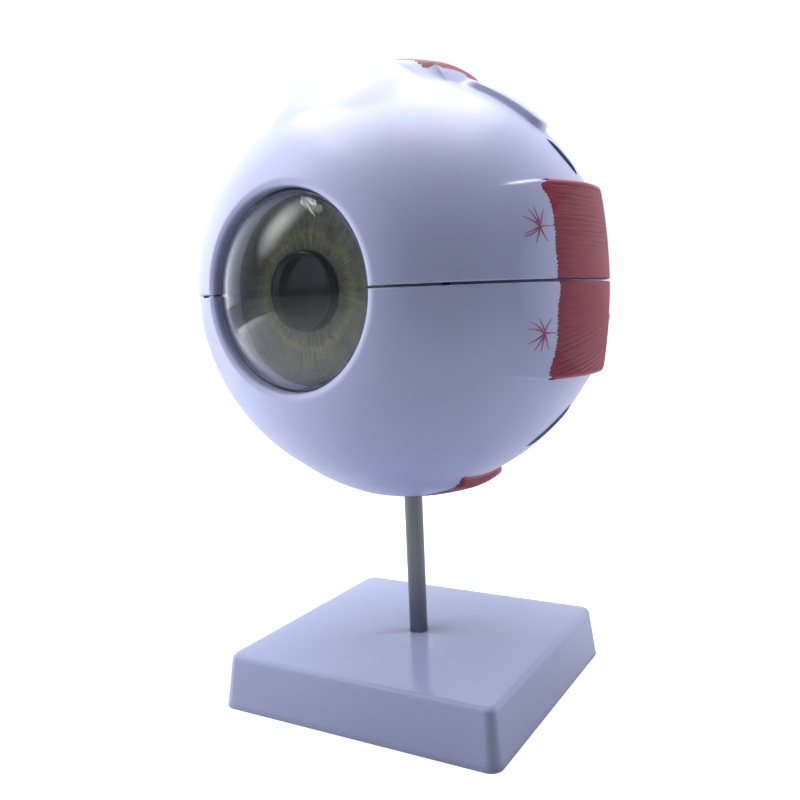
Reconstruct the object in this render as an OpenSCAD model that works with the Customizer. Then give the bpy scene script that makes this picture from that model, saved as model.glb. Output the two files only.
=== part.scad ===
// Eye anatomy model: a take-apart eyeball, about six times life size, on a rod and a square foot.
// Origin: centre of the foot's underside, on the rod's axis. +Z is up and the eye looks along -Y.

/* [Stand] */
// Width of the foot at the floor, along X
base_w = 112; // [90:1:140]
// Depth of the foot at the floor, along Y
base_d = 106; // [90:1:140]
// Height of the foot
base_h = 20; // [18:1:30]
// How far each side of the foot leans in on its way up
base_flare = 2.4; // [0:0.2:4]
// Radius of the foot's upright corners at the floor
base_corner = 8; // [7.5:0.5:12]
// Radius of the rounded edge round the top of the foot
base_edge = 3; // [1:0.5:3]
// Wall of the hollow foot
base_wall = 3; // [2:0.25:4]
// Diameter of the steel rod
rod_d = 7; // [5:0.5:10]
// Bare length of rod between the foot and the eyeball
rod_bare = 58; // [40:1:100]
// Depth of the rod's hole in the foot
rod_seat = 10; // [6:1:11]
// Depth of the rod's hole in the eyeball
rod_grip = 15; // [10:1:16]
// Wall round the rod in both of its sockets
socket_wall = 4.5; // [3:0.5:6]
// Radial clearance of the rod in its two holes
rod_fit = 0.05; // [0.02:0.01:0.09]
// Diameter of the screw that ties the rod to the foot
screw_d = 4; // [3:0.5:4]
// Diameter of the washer under that screw
washer_d = 14; // [12:1:18]

/* [Eyeball] */
// Outer radius of the eyeball
globe_r = 75; // [68:1:90]
// Turn of the eyeball on its rod, from straight ahead
globe_turn = -6; // [-30:1:30]
// Wall of the white outer shell
shell_wall = 3.5; // [3:0.25:5]
// Gap between the upper and the lower half
seam_gap = 0.8; // [0.4:0.1:1.2]
// Diameter of the pins that line up the two halves
pin_d = 2; // [1.5:0.25:2.25]
// Length of those pins
pin_length = 8; // [6:1:12]
// Clearance between the layers that nest in each other
layer_gap = 0.3; // [0.2:0.05:0.5]
// Wall of the choroid layer
choroid_wall = 2; // [1.5:0.25:3]
// Wall of the retina layer
retina_wall = 1.5; // [1:0.25:2.5]
// Wall of the clear vitreous body
vitreous_wall = 2.5; // [1.5:0.25:4]

/* [Cornea, iris and lens] */
// Radius of the round window in the front of the eyeball
window_r = 32.6; // [30.5:0.1:34]
// Radius of the window's rounded lip
window_lip = 3; // [1.5:0.25:4]
// Wall of the tube that carries the cornea behind the lip
window_wall = 3.4; // [2.5:0.1:5]
// How far the seat for the iris stands in from the window
seat_step = 4.6; // [3:0.1:5.4]
// Thickness of that seat
seat_t = 3; // [2:0.5:4]
// Rise of the clear cornea in front of the lip
cornea_rise = 13; // [9:0.5:15]
// Wall of the cornea
cornea_wall = 2; // [1.5:0.25:3]
// Straight skirt of the cornea behind the lip
cornea_skirt = 7.5; // [5:0.5:10]
// Thickness of the iris disc
iris_t = 3; // [2:0.5:4]
// Radius of the clear boss that fills the pupil
pupil_r = 12.8; // [8:0.2:14]
// How far the boss stands out of the iris
pupil_rise = 3.8; // [1:0.2:6]
// Radial clearance of the cornea, the iris, the ciliary body and the lens
front_fit = 0.3; // [0.2:0.05:0.4]
// Radius of the lens at its rim
lens_r = 24.1; // [18:0.1:24.3]
// Thickness of the lens at its rim
lens_rim = 3; // [2:0.5:5]
// Radius of curvature of the lens in front
lens_front_r = 50; // [45:1:80]
// Radius of curvature of the lens behind
lens_rear_r = 30; // [27:1:50]
// Depth of the ciliary body, from the iris back
ciliary_h = 12; // [10:0.5:16]

/* [Muscles, nerve and veins] */
// Half width of the lateral and the medial rectus
side_half = 31.5; // [24:0.5:36]
// Half width of the superior rectus
top_half = 33; // [24:0.5:36]
// Half width of the inferior rectus
bottom_half = 33; // [24:0.5:36]
// How far the superior rectus stands off the eyeball
top_proud = 6; // [3:0.5:8]
// How far the inferior rectus stands off the eyeball
bottom_proud = 2.5; // [1:0.25:5]
// How far the lateral and the medial rectus stand off the eyeball along their middle
side_proud = 0.7; // [0.5:0.1:3]
// Depth of the pocket that each red muscle sits in
belly_seat = 1.5; // [1:0.1:1.75]
// How far the oblique muscles stand off the eyeball
oblique_proud = 2.8; // [1.5:0.1:4]
// Width of the oblique muscles
oblique_w = 14; // [8:1:18]
// Radius of the optic nerve
nerve_r = 12; // [8:0.5:15]
// Length of the optic nerve behind the eyeball
nerve_length = 24; // [12:1:40]
// Turn of the optic nerve from straight back, towards the nose
nerve_turn = 15; // [0:1:20]
// Width of the vortex veins
vein_w = 3.4; // [2:0.1:5]
// How far the vortex veins stand off the eyeball
vein_t = 1.2; // [0.8:0.1:2]

/* [Hidden] */
$fn = 96;
eps = 0.01;
overcut = 1;
bond_gap = 0.1;
belly_slack = 0.15;
lilac = "#c9cce3";
muscle_red = "#b0404f";
steel = "#8d9199";

// Stand
rod_r = rod_d / 2;
socket_r = rod_r + rod_fit + socket_wall;
globe_z = base_h + rod_bare + globe_r;
rod_foot_z = base_h - rod_seat;
rod_top_z = globe_z - globe_r + rod_grip;
seat_floor = 3;
floor_z = rod_foot_z - seat_floor;
washer_t = 1;
screw_fit = 0.05;
screw_head_h = 3;
screw_head_r = screw_d;
screw_grip = 10;
rod_chamfer = 0.6;

// Eyeball layers
big = 4 * globe_r;
cavity_r = globe_r - shell_wall;
choroid_r = cavity_r - layer_gap;
retina_r = choroid_r - choroid_wall - layer_gap;
vitreous_r = retina_r - retina_wall - layer_gap;
socket_roof = 3;
socket_top = rod_grip + socket_roof - globe_r;
socket_hole_r = socket_r + 2 * layer_gap;
pin_turns = [45, 150, -140, -45];
pin_fit = 0.02;
pin_play = 0.12;

// Front parts, measured forwards from the middle of the eyeball
lip_y = sqrt(pow(globe_r - window_lip, 2) - pow(window_r + window_lip, 2));
lip_bite = 0.1;
iris_y = lip_y - cornea_skirt;
seat_y = iris_y - iris_t;
seat_back_y = seat_y - seat_t;
seat_r = window_r - seat_step;
cornea_r = window_r - front_fit;
cornea_dome_r = (pow(cornea_r, 2) + pow(cornea_rise, 2)) / (2 * cornea_rise);
cornea_dome_y = lip_y + cornea_rise - cornea_dome_r;
pupil_hole_r = pupil_r + front_fit;
ciliary_r = seat_r - front_fit;
ciliary_bore_r = lens_r + front_fit;
lens_setback = 6;
lens_front_y = seat_y - lens_setback;
lens_back_y = lens_front_y - lens_rim;
lens_front_sag = lens_front_r - sqrt(pow(lens_front_r, 2) - pow(lens_r, 2));
lens_rear_sag = lens_rear_r - sqrt(pow(lens_rear_r, 2) - pow(lens_r, 2));
lens_apex_y = lens_back_y - lens_rear_sag;
shoulder_t = 3.5;
shoulder_step = 4.1;
vitreous_y = lens_apex_y - 3;
plate_t = 3;
retina_setback = 18;
choroid_y = seat_y - ciliary_h - 2;
retina_y = choroid_y - retina_setback;
fossa_r = 60;
fossa_depth = 1.2;

// Muscles: each fades in at one angle, turns red at another and is cut off at a third,
// counted from the front of the eye. It widens between the two angles of its flare.
side_fade = 54;
side_red = 75;
side_end = 107;
side_slide = 9;
side_crown = 185;
side_flare = [60, 70];
top_fade = 43;
top_red = 83;
top_end = 112;
top_slide = 13.5;
top_crown = 62;
top_front_half = 0.64 * top_half;
top_flare = [66, 75];
bottom_fade = 55;
bottom_red = 85;
bottom_end = 112;
bottom_slide = 8;
bottom_crown = 90;
bottom_front_half = 0.73 * bottom_half;
bottom_flare = [70, 77];
pocket_r = globe_r - belly_seat;
rod_window = 1;
oblique_pan = 14;
oblique_tilt = 12;
high_oblique_y = -0.7;
oblique_tip = 47;
oblique_red = -40;
oblique_end = -62;
low_oblique_y = 31;
low_oblique_tip = 20;
low_oblique_end = 80;
vein_upper_turn = 96;
vein_upper_tilt = 33.5;
vein_upper_sweep_angle = 13;
vein_upper_roll = 28;
vein_lower_turn = 97;
vein_lower_tilt = -42;
vein_lower_roll = -34;
vein_lower_sweep_angle = 18;
nerve_seat_y = pocket_r;
nerve_core_r = 2;

// Places what is drawn round the middle of the eyeball
module in_globe() {
    translate([0, 0, globe_z]) rotate([0, 0, globe_turn]) children();
}

// Turns +Z to the way the eye looks
module look_forward() {
    rotate([90, 0, 0]) children();
}

module upper_space() {
    translate([-big / 2, -big / 2, seam_gap / 2]) cube(big);
}

module lower_space() {
    mirror([0, 0, 1]) upper_space();
}

// Everything behind a plane that stands across the line of sight
module behind(y) {
    look_forward() translate([-big / 2, -big / 2, y - big]) cube(big);
}

// Everything past an upright plane through the middle, at an angle from the front towards +X
module past_angle(angle) {
    rotate([0, 0, angle]) translate([0, -big, -big / 2]) cube([big, 2 * big, big]);
}

// What lies between two such planes
module wedge(from, to) {
    difference() {
        past_angle(from);
        past_angle(to);
    }
}

// ---- Stand ----

// A rounded block that leans in as it rises, shrunk by an inset all round
module foot_block(inset, height) {
    reach_x = base_w / 2 - base_corner;
    reach_y = base_d / 2 - base_corner;
    low_r = base_corner - inset;
    top_r = base_corner - base_flare - inset;
    edge = max(base_edge - inset, 0.5);
    hull() {
        for (sx = [-1, 1], sy = [-1, 1]) translate([sx * reach_x, sy * reach_y, 0]) {
            cylinder(r = low_r, h = eps, $fn = 40);
            translate([0, 0, height - edge]) rotate_extrude($fn = 40) intersection() {
                translate([top_r - edge, 0]) circle(edge, $fn = 24);
                translate([0, -edge]) square(2 * edge + top_r);
            }
        }
    }
}

module base_shell() {
    color(lilac) difference() {
        union() {
            difference() {
                foot_block(0, base_h);
                translate([0, 0, -eps]) foot_block(base_wall, base_h - base_wall + eps);
            }
            translate([0, 0, floor_z]) cylinder(r = socket_r, h = base_h - floor_z - base_edge / 2);
        }
        translate([0, 0, rod_foot_z]) cylinder(r = rod_r + rod_fit, h = base_h);
        translate([0, 0, floor_z - overcut])
            cylinder(r = screw_d / 2 + 4 * screw_fit, h = base_h);
    }
}

module rod() {
    color(steel) difference() {
        union() {
            translate([0, 0, rod_foot_z]) cylinder(r = rod_r, h = rod_top_z - rod_foot_z - rod_chamfer);
            translate([0, 0, rod_top_z - rod_chamfer])
                cylinder(r1 = rod_r, r2 = rod_r - rod_chamfer, h = rod_chamfer);
        }
        translate([0, 0, rod_foot_z - overcut])
            cylinder(r = screw_d / 2 + screw_fit, h = screw_grip + overcut);
    }
}

module rod_washer() {
    color(steel) translate([0, 0, floor_z - washer_t]) difference() {
        cylinder(r = washer_d / 2, h = washer_t);
        translate([0, 0, -overcut]) cylinder(r = screw_d / 2 + 4 * screw_fit, h = washer_t + 2 * overcut);
    }
}

module rod_screw() {
    head_z = floor_z - washer_t - screw_head_h;
    slot_w = 1;
    slot_depth = 1.4;
    color(steel) difference() {
        union() {
            translate([0, 0, head_z]) cylinder(r = screw_head_r, h = screw_head_h);
            translate([0, 0, head_z + screw_head_h - eps])
                cylinder(r = screw_d / 2, h = washer_t + seat_floor + screw_grip - overcut);
        }
        for (turn = [0, 90]) rotate([0, 0, turn])
            translate([-screw_head_r * 0.7, -slot_w / 2, head_z - overcut])
                cube([screw_head_r * 1.4, slot_w, slot_depth + overcut]);
    }
}

// ---- Straps of the straight muscles ----
// Each is drawn for a muscle that runs round the +X side, and then turned into place.

// Barrel that gives a strap its height along the middle and its crown across
module barrel(proud, crown, half) {
    rotate_extrude() intersection() {
        translate([globe_r + proud - crown, 0]) circle(crown, $fn = 180);
        translate([0, -half]) square([big, 2 * half]);
    }
}

// The whole strap. A ball of the eyeball's own size, slid sideways, lets it rise gently.
module strap(fade, slide, proud, crown, half, front_half, flare) {
    narrow_y = -(globe_r + proud) * cos(flare[0]);
    wide_y = -(globe_r + proud) * cos(flare[1]);
    intersection() {
        translate(slide * [cos(fade), sin(fade), 0]) sphere(globe_r);
        barrel(proud, crown, half);
        rotate([0, 90, 0]) linear_extrude(big) polygon([
            [-front_half, -big], [front_half, -big], [front_half, narrow_y], [half, wide_y],
            [half, big], [-half, big], [-half, wide_y], [-front_half, narrow_y]]);
    }
}

// White front part of a strap, moulded with the shell
module tendon(fade, slide, proud, crown, half, front_half, flare, red) {
    difference() {
        strap(fade, slide, proud, crown, half, front_half, flare);
        past_angle(red);
        sphere(pocket_r);
    }
}

// Pocket in the shell for the red part
module belly_pocket(half, red, end) {
    difference() {
        intersection() {
            wedge(red, end);
            translate([0, -big / 2, -half - bond_gap]) cube([big, big, 2 * (half + bond_gap)]);
        }
        sphere(pocket_r);
    }
}

// Red part of a strap, seated in its pocket
module belly(fade, slide, proud, crown, half, front_half, flare, red, end) {
    difference() {
        intersection() {
            strap(fade, slide, proud, crown, half, front_half, flare);
            wedge(red + belly_slack, end - belly_slack);
        }
        sphere(pocket_r + bond_gap);
    }
}

module side_tendon() {
    tendon(side_fade, side_slide, side_proud, side_crown, side_half, side_half, side_flare,
        side_red);
}

module side_pocket() {
    belly_pocket(side_half, side_red, side_end);
}

module side_belly() {
    belly(side_fade, side_slide, side_proud, side_crown, side_half, side_half, side_flare,
        side_red, side_end);
}

module top_tendon() {
    rotate([0, -90, 0])
        tendon(top_fade, top_slide, top_proud, top_crown, top_half, top_front_half, top_flare,
            top_red);
}

module top_pocket() {
    rotate([0, -90, 0]) belly_pocket(top_half, top_red, top_end);
}

module bottom_tendon() {
    rotate([0, 90, 0]) tendon(bottom_fade, bottom_slide, bottom_proud, bottom_crown,
        bottom_half, bottom_front_half, bottom_flare, bottom_red);
}

module bottom_pocket() {
    rotate([0, 90, 0]) belly_pocket(bottom_half, bottom_red, bottom_end);
}

// ---- Oblique muscles ----

// What lies in a slab across the local Y axis, between two angles from the top towards +X
module sector(low_y, width, from, to) {
    intersection() {
        translate([-big / 2, low_y, -big / 2]) cube([big, width, big]);
        rotate([0, from, 0]) translate([0, -big / 2, -big]) cube([big, big, 2 * big]);
        rotate([0, to, 0]) translate([-big, -big / 2, -big]) cube([big, big, 2 * big]);
    }
}

// A band in such a sector, from one distance off the middle to another
module band(low_y, width, from, to, inner_r, outer_r) {
    difference() {
        intersection() {
            sphere(outer_r);
            sector(low_y, width, from, to);
        }
        sphere(inner_r);
    }
}

// Cutter that leaves a pocket for a red oblique band
module band_pocket(low_y, from, to) {
    difference() {
        sector(low_y - bond_gap, oblique_w + 2 * bond_gap, from, to);
        sphere(pocket_r);
    }
}

module oblique_band(low_y, from, to, inner_r) {
    band(low_y, oblique_w, from, to, inner_r, globe_r + oblique_proud);
}

module high_oblique_frame() {
    rotate([0, 0, oblique_pan]) rotate([oblique_tilt, 0, 0]) children();
}

// White tendon of the superior oblique, moulded with the shell on both sides of the
// superior rectus
module high_oblique_tendon() {
    high_oblique_frame() oblique_band(high_oblique_y, oblique_red, oblique_tip, pocket_r);
}

// ---- White outer shell ----

module window_tube() {
    intersection() {
        look_forward() translate([0, 0, seat_back_y]) cylinder(r = window_r + window_wall, h = globe_r);
        sphere(globe_r - window_lip / 2);
    }
}

// Opening for the cornea, from the rounded lip back to the seat and through it
module window_cut() {
    mouth = 1.3;
    ring_r = window_r + window_lip;
    ring_y = lip_y + lip_bite;
    look_forward() {
        rotate_extrude() difference() {
            polygon([[0, ring_y], [ring_r, ring_y], [mouth * ring_r, mouth * ring_y], [0, mouth * ring_y]]);
            translate([ring_r, ring_y]) circle(window_lip);
        }
        translate([0, 0, seat_y]) cylinder(r = window_r, h = ring_y - seat_y + eps);
        translate([0, 0, seat_back_y - overcut]) cylinder(r = seat_r, h = globe_r);
    }
}

module nerve_frame() {
    rotate([0, 0, nerve_turn]) rotate([-90, 0, 0]) children();
}

module pin_places() {
    for (turn = pin_turns) rotate([0, 0, turn])
        translate([0, -(globe_r - shell_wall / 2), 0]) children();
}

// The shell before it is cut in two: its first child is added, and its second cuts pockets
module whole_shell() {
    difference() {
        union() {
            difference() {
                union() {
                    sphere(globe_r);
                    side_tendon();
                    mirror([1, 0, 0]) side_tendon();
                    children(0);
                }
                side_pocket();
                mirror([1, 0, 0]) side_pocket();
                children(1);
                sphere(cavity_r);
            }
            window_tube();
        }
        window_cut();
        nerve_frame() translate([0, 0, nerve_seat_y]) cylinder(r = nerve_r + bond_gap, h = globe_r);
    }
}

module sclera_lower() {
    color(lilac) in_globe() difference() {
        union() {
            intersection() {
                whole_shell() {
                    bottom_tendon();
                    union() {
                        bottom_pocket();
                        mirror([0, 0, 1]) band_pocket(low_oblique_y, low_oblique_tip, low_oblique_end);
                    }
                }
                lower_space();
            }
            intersection() {
                translate([0, 0, -globe_r]) cylinder(r = socket_r, h = socket_top + globe_r);
                sphere(pocket_r);
            }
        }
        translate([0, 0, -globe_r - overcut - bottom_proud])
            cylinder(r = rod_r + rod_fit, h = rod_grip + overcut + bottom_proud);
        pin_places() translate([0, 0, -pin_length / 2]) cylinder(r = pin_d / 2 + pin_fit, h = pin_length);
    }
}

module sclera_upper() {
    color(lilac) in_globe() difference() {
        intersection() {
            whole_shell() {
                union() {
                    top_tendon();
                    high_oblique_tendon();
                }
                union() {
                    top_pocket();
                    high_oblique_frame() band_pocket(high_oblique_y, oblique_end, oblique_red);
                }
            }
            upper_space();
        }
        pin_places() translate([0, 0, -pin_length / 2])
            cylinder(r = pin_d / 2 + pin_play, h = pin_length + layer_gap);
    }
}

module seam_pins() {
    color(steel) in_globe() pin_places()
        translate([0, 0, -pin_length / 2]) cylinder(r = pin_d / 2, h = pin_length);
}

// ---- Front of the eye ----

module cornea() {
    color("#dfe6f2", 0.35) in_globe() look_forward() difference() {
        intersection() {
            translate([0, 0, cornea_dome_y]) sphere(cornea_dome_r);
            translate([0, 0, iris_y]) cylinder(r = cornea_r, h = globe_r);
        }
        intersection() {
            translate([0, 0, cornea_dome_y]) sphere(cornea_dome_r - cornea_wall);
            translate([0, 0, iris_y - overcut]) cylinder(r = cornea_r - cornea_wall, h = globe_r);
        }
    }
}

module iris() {
    color("#6f7468") in_globe() look_forward() translate([0, 0, seat_y]) difference() {
        cylinder(r = cornea_r, h = iris_t);
        translate([0, 0, -overcut]) cylinder(r = pupil_hole_r, h = iris_t + 2 * overcut);
    }
}

module ciliary_body() {
    color("#5a3a32") in_globe() look_forward() translate([0, 0, seat_y - ciliary_h]) difference() {
        cylinder(r = ciliary_r, h = ciliary_h);
        translate([0, 0, -overcut]) cylinder(r = ciliary_bore_r, h = ciliary_h - shoulder_t + overcut);
        translate([0, 0, -overcut])
            cylinder(r = ciliary_bore_r - shoulder_step, h = ciliary_h + 2 * overcut);
    }
}

module lens() {
    color("#e6ecf4", 0.4) in_globe() look_forward() {
        intersection() {
            translate([0, 0, lens_front_y + lens_front_sag - lens_front_r]) sphere(lens_front_r);
            translate([0, 0, lens_back_y - lens_rear_sag + lens_rear_r]) sphere(lens_rear_r);
            translate([0, 0, lens_apex_y - overcut]) cylinder(r = lens_r, h = globe_r);
        }
        translate([0, 0, lens_front_y]) cylinder(r = pupil_r, h = iris_y + pupil_rise - lens_front_y);
    }
}

// ---- Inner layers ----

// A thin ball-shaped layer, open in front
module layer(outer_r, wall, front_y) {
    difference() {
        intersection() {
            sphere(outer_r);
            behind(front_y);
        }
        sphere(outer_r - wall);
    }
}

module socket_hole() {
    translate([0, 0, -big]) cylinder(r = socket_hole_r, h = big - globe_r / 3);
}

module lower_layer(outer_r, wall, front_y) {
    difference() {
        intersection() {
            layer(outer_r, wall, front_y);
            lower_space();
        }
        socket_hole();
    }
}

module upper_layer(outer_r, wall, front_y) {
    intersection() {
        layer(outer_r, wall, front_y);
        upper_space();
    }
}

module choroid_lower() {
    color("#5b2a26") in_globe() lower_layer(choroid_r, choroid_wall, choroid_y);
}

module choroid_upper() {
    color("#5b2a26") in_globe() upper_layer(choroid_r, choroid_wall, choroid_y);
}

module retina_lower() {
    color("#d98a5c") in_globe() lower_layer(retina_r, retina_wall, retina_y);
}

module retina_upper() {
    color("#d98a5c") in_globe() upper_layer(retina_r, retina_wall, retina_y);
}

module vitreous_bowl() {
    color("#dfe8ee", 0.35) in_globe() difference() {
        layer(vitreous_r, vitreous_wall, vitreous_y - plate_t);
        socket_hole();
    }
}

module vitreous_front() {
    color("#dfe8ee", 0.35) in_globe() difference() {
        intersection() {
            sphere(vitreous_r);
            behind(vitreous_y);
        }
        behind(vitreous_y - plate_t);
        look_forward() translate([0, 0, vitreous_y - fossa_depth + fossa_r]) sphere(fossa_r);
    }
}

// ---- Muscles ----

module side_muscle() {
    color(muscle_red) in_globe() intersection() {
        side_belly();
        children();
    }
}

module lateral_rectus_upper() {
    side_muscle() upper_space();
}

module lateral_rectus_lower() {
    side_muscle() lower_space();
}

module nose_side_muscle() {
    color(muscle_red) in_globe() mirror([1, 0, 0]) intersection() {
        side_belly();
        children();
    }
}

module medial_rectus_upper() {
    nose_side_muscle() upper_space();
}

module medial_rectus_lower() {
    nose_side_muscle() lower_space();
}

module superior_rectus() {
    color(muscle_red) in_globe() rotate([0, -90, 0])
        belly(top_fade, top_slide, top_proud, top_crown, top_half, top_front_half,
            top_flare, top_red, top_end);
}

module inferior_rectus() {
    color(muscle_red) in_globe() difference() {
        rotate([0, 90, 0]) belly(bottom_fade, bottom_slide, bottom_proud, bottom_crown,
            bottom_half, bottom_front_half, bottom_flare, bottom_red, bottom_end);
        translate([0, 0, -big]) cylinder(r = rod_r + rod_window, h = big);
    }
}

module superior_oblique() {
    color(muscle_red) in_globe() high_oblique_frame()
        oblique_band(high_oblique_y, oblique_end + belly_slack, oblique_red - belly_slack,
            pocket_r + bond_gap);
}

module inferior_oblique() {
    color(muscle_red) in_globe() mirror([0, 0, 1])
        oblique_band(low_oblique_y, low_oblique_tip + belly_slack, low_oblique_end - belly_slack,
            pocket_r + bond_gap);
}

// ---- Optic nerve and veins ----

module nerve_stub() {
    color("#d8c88a") in_globe() intersection() {
        nerve_frame() translate([0, 0, nerve_seat_y]) difference() {
            cylinder(r = nerve_r, h = globe_r - nerve_seat_y + nerve_length);
            translate([0, 0, globe_r - nerve_seat_y + nerve_length - 2 * nerve_core_r])
                cylinder(r = nerve_core_r, h = 2 * nerve_core_r + overcut);
        }
        children();
    }
}

module optic_nerve_upper() {
    nerve_stub() upper_space();
}

module optic_nerve_lower() {
    nerve_stub() lower_space();
}

// One vein, lying on the eyeball at a turn from the front and a tilt above its middle
module vein(turn, tilt, roll, sweep) {
    rotate([0, 0, turn - 90]) rotate([0, 90 - tilt, 0]) rotate([0, 0, roll])
        band(-vein_w / 2, vein_w, -sweep / 2, sweep / 2, globe_r + bond_gap, globe_r + vein_t);
}

module vein_pair(turn, tilt, roll, sweep) {
    color("#27344f") in_globe() {
        vein(turn, tilt, roll, sweep);
        mirror([1, 0, 0]) vein(turn, tilt, roll, sweep);
    }
}

module vortex_veins_upper() {
    vein_pair(vein_upper_turn, vein_upper_tilt, vein_upper_roll, vein_upper_sweep_angle);
}

module vortex_veins_lower() {
    vein_pair(vein_lower_turn, vein_lower_tilt, vein_lower_roll, vein_lower_sweep_angle);
}

base_shell();
rod();
rod_washer();
rod_screw();
sclera_lower();
sclera_upper();
seam_pins();
cornea();
iris();
ciliary_body();
lens();
choroid_lower();
choroid_upper();
retina_lower();
retina_upper();
vitreous_bowl();
vitreous_front();
superior_rectus();
inferior_rectus();
lateral_rectus_upper();
lateral_rectus_lower();
medial_rectus_upper();
medial_rectus_lower();
superior_oblique();
inferior_oblique();
optic_nerve_upper();
optic_nerve_lower();
vortex_veins_upper();
vortex_veins_lower();
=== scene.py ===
"""Looks of the eye anatomy model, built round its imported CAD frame.

Sizes are millimetres and angles degrees, as on the maker's drawing. The globe's own frame has its
origin in the middle of the ball, the eye looking along -Y and +X towards the temple.
"""
import math

import bmesh
import bpy
import numpy as np
from mathutils import Euler, Matrix, Vector


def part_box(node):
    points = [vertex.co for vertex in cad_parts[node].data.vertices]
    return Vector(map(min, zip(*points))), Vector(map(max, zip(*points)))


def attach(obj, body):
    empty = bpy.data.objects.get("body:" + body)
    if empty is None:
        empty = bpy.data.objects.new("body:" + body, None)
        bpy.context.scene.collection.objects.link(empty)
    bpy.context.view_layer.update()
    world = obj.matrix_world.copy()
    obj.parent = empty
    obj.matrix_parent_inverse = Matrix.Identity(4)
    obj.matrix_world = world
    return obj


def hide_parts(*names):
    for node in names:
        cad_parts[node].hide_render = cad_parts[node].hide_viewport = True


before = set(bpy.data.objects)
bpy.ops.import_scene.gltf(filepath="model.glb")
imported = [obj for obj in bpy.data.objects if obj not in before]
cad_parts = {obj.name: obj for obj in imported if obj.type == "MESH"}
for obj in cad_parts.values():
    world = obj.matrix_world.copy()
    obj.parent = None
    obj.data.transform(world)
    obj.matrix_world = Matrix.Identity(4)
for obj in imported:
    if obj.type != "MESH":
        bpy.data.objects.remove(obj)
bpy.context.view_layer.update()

# ---- Camera ----
# A phone held about level with the eye, in front of its temple side, looking a little down and
# slightly tipped. Its place, turn and lens were worked out from the foot, the rod and the window.
MM = 0.001


def in_scene(name, data):
    """Puts data into the scene as an object of its own."""
    made = bpy.data.objects.new(name, data)
    bpy.context.scene.collection.objects.link(made)
    return made


camera_place = Vector((159.8, -284.2, 147.6)) * MM
camera_pitch, camera_yaw, camera_roll = (math.radians(a) for a in (83.63, 29.98, -2.44))
camera_turn = Euler((camera_pitch, 0, camera_yaw), "XYZ").to_matrix()
camera_tip = Matrix.Rotation(camera_roll, 3, "Z")
camera = in_scene("camera", bpy.data.cameras.new("camera"))
camera.data.lens = 38.58
camera.data.clip_start = 0.01
camera.matrix_world = Matrix.Translation(camera_place) @ (camera_turn @ camera_tip).to_4x4()
bpy.context.scene.camera = camera
bpy.context.scene.view_settings.view_transform = "Standard"


# ---- Studio ----
# A white light tent that is open towards the camera, so the side that faces it stays dim while
# the top, the rims and the back are bright. The floor and the backdrop show as plain white, and
# gloss shows the same white behind the object and the dim room in front of it.
def linear(code):
    """An sRGB colour written as hex, as the linear colour that a shader takes."""
    parts = [int(code[i:i + 2], 16) / 255 for i in (1, 3, 5)]
    return tuple(c / 12.92 if c <= 0.04045 else ((c + 0.055) / 1.055) ** 2.4 for c in parts) + (1,)


def add(tree, kind, sockets=None, **settings):
    """Adds a node: settings are its own values, and sockets its inputs, each a value or an output."""
    made = tree.nodes.new(kind)
    stops = settings.pop("stops", None)
    for name, value in settings.items():
        setattr(made, name, value)
    if stops:
        while len(made.color_ramp.elements) < len(stops):
            made.color_ramp.elements.new(0.5)
        for element, (place, code) in zip(made.color_ramp.elements, stops):
            element.position = place
            element.color = linear(code)
    for key, value in (sockets or {}).items():
        if isinstance(value, bpy.types.NodeSocket):
            tree.links.new(value, made.inputs[key])
        else:
            made.inputs[key].default_value = value
    return made


def tree_of(holder):
    """The emptied node tree of a material, a lamp or the world."""
    holder.use_nodes = True
    holder.node_tree.nodes.clear()
    return holder.node_tree


open_side = Vector((0.795, -0.45, -0.41)).normalized()
dim_side = Vector((0.30, -0.95, -0.05)).normalized()

world = bpy.data.worlds.new("light_tent")
bpy.context.scene.world = world
tree = tree_of(world)
direction = add(tree, "ShaderNodeTexCoord").outputs["Generated"]


def light_from(side, starts, full, least, most):
    """Light that grows as a direction turns away from one side of the room."""
    facing = add(tree, "ShaderNodeVectorMath", {0: direction, 1: side}, operation="DOT_PRODUCT")
    turn = add(tree, "ShaderNodeMath", {0: facing.outputs["Value"]}, operation="ARCCOSINE")
    return add(tree, "ShaderNodeMapRange", {
        "Value": turn.outputs[0], "From Min": math.radians(starts),
        "From Max": math.radians(full), "To Min": least, "To Max": most},
        interpolation_type="SMOOTHSTEP").outputs[0]


tent = add(tree, "ShaderNodeBackground", {"Color": (1, 1, 1, 1),
                                          "Strength": light_from(open_side, 84, 108, 0, 1.12)})
mirrored = add(tree, "ShaderNodeBackground", {"Color": (0.86, 0.93, 1, 1),
                                              "Strength": light_from(dim_side, 78, 128, 0.13, 0.9)})
backdrop = add(tree, "ShaderNodeBackground", {"Color": (1, 1, 1, 1), "Strength": 1})
rays = add(tree, "ShaderNodeLightPath")
bent = add(tree, "ShaderNodeMath", {0: rays.outputs["Is Glossy Ray"],
                                    1: rays.outputs["Is Transmission Ray"]}, operation="MAXIMUM")
lit = add(tree, "ShaderNodeMixShader", {0: bent.outputs[0], 1: tent.outputs[0],
                                        2: mirrored.outputs[0]})
mixed = add(tree, "ShaderNodeMixShader", {0: rays.outputs["Is Camera Ray"], 1: lit.outputs[0],
                                          2: backdrop.outputs[0]})
add(tree, "ShaderNodeOutputWorld", {"Surface": mixed.outputs[0]})

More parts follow.
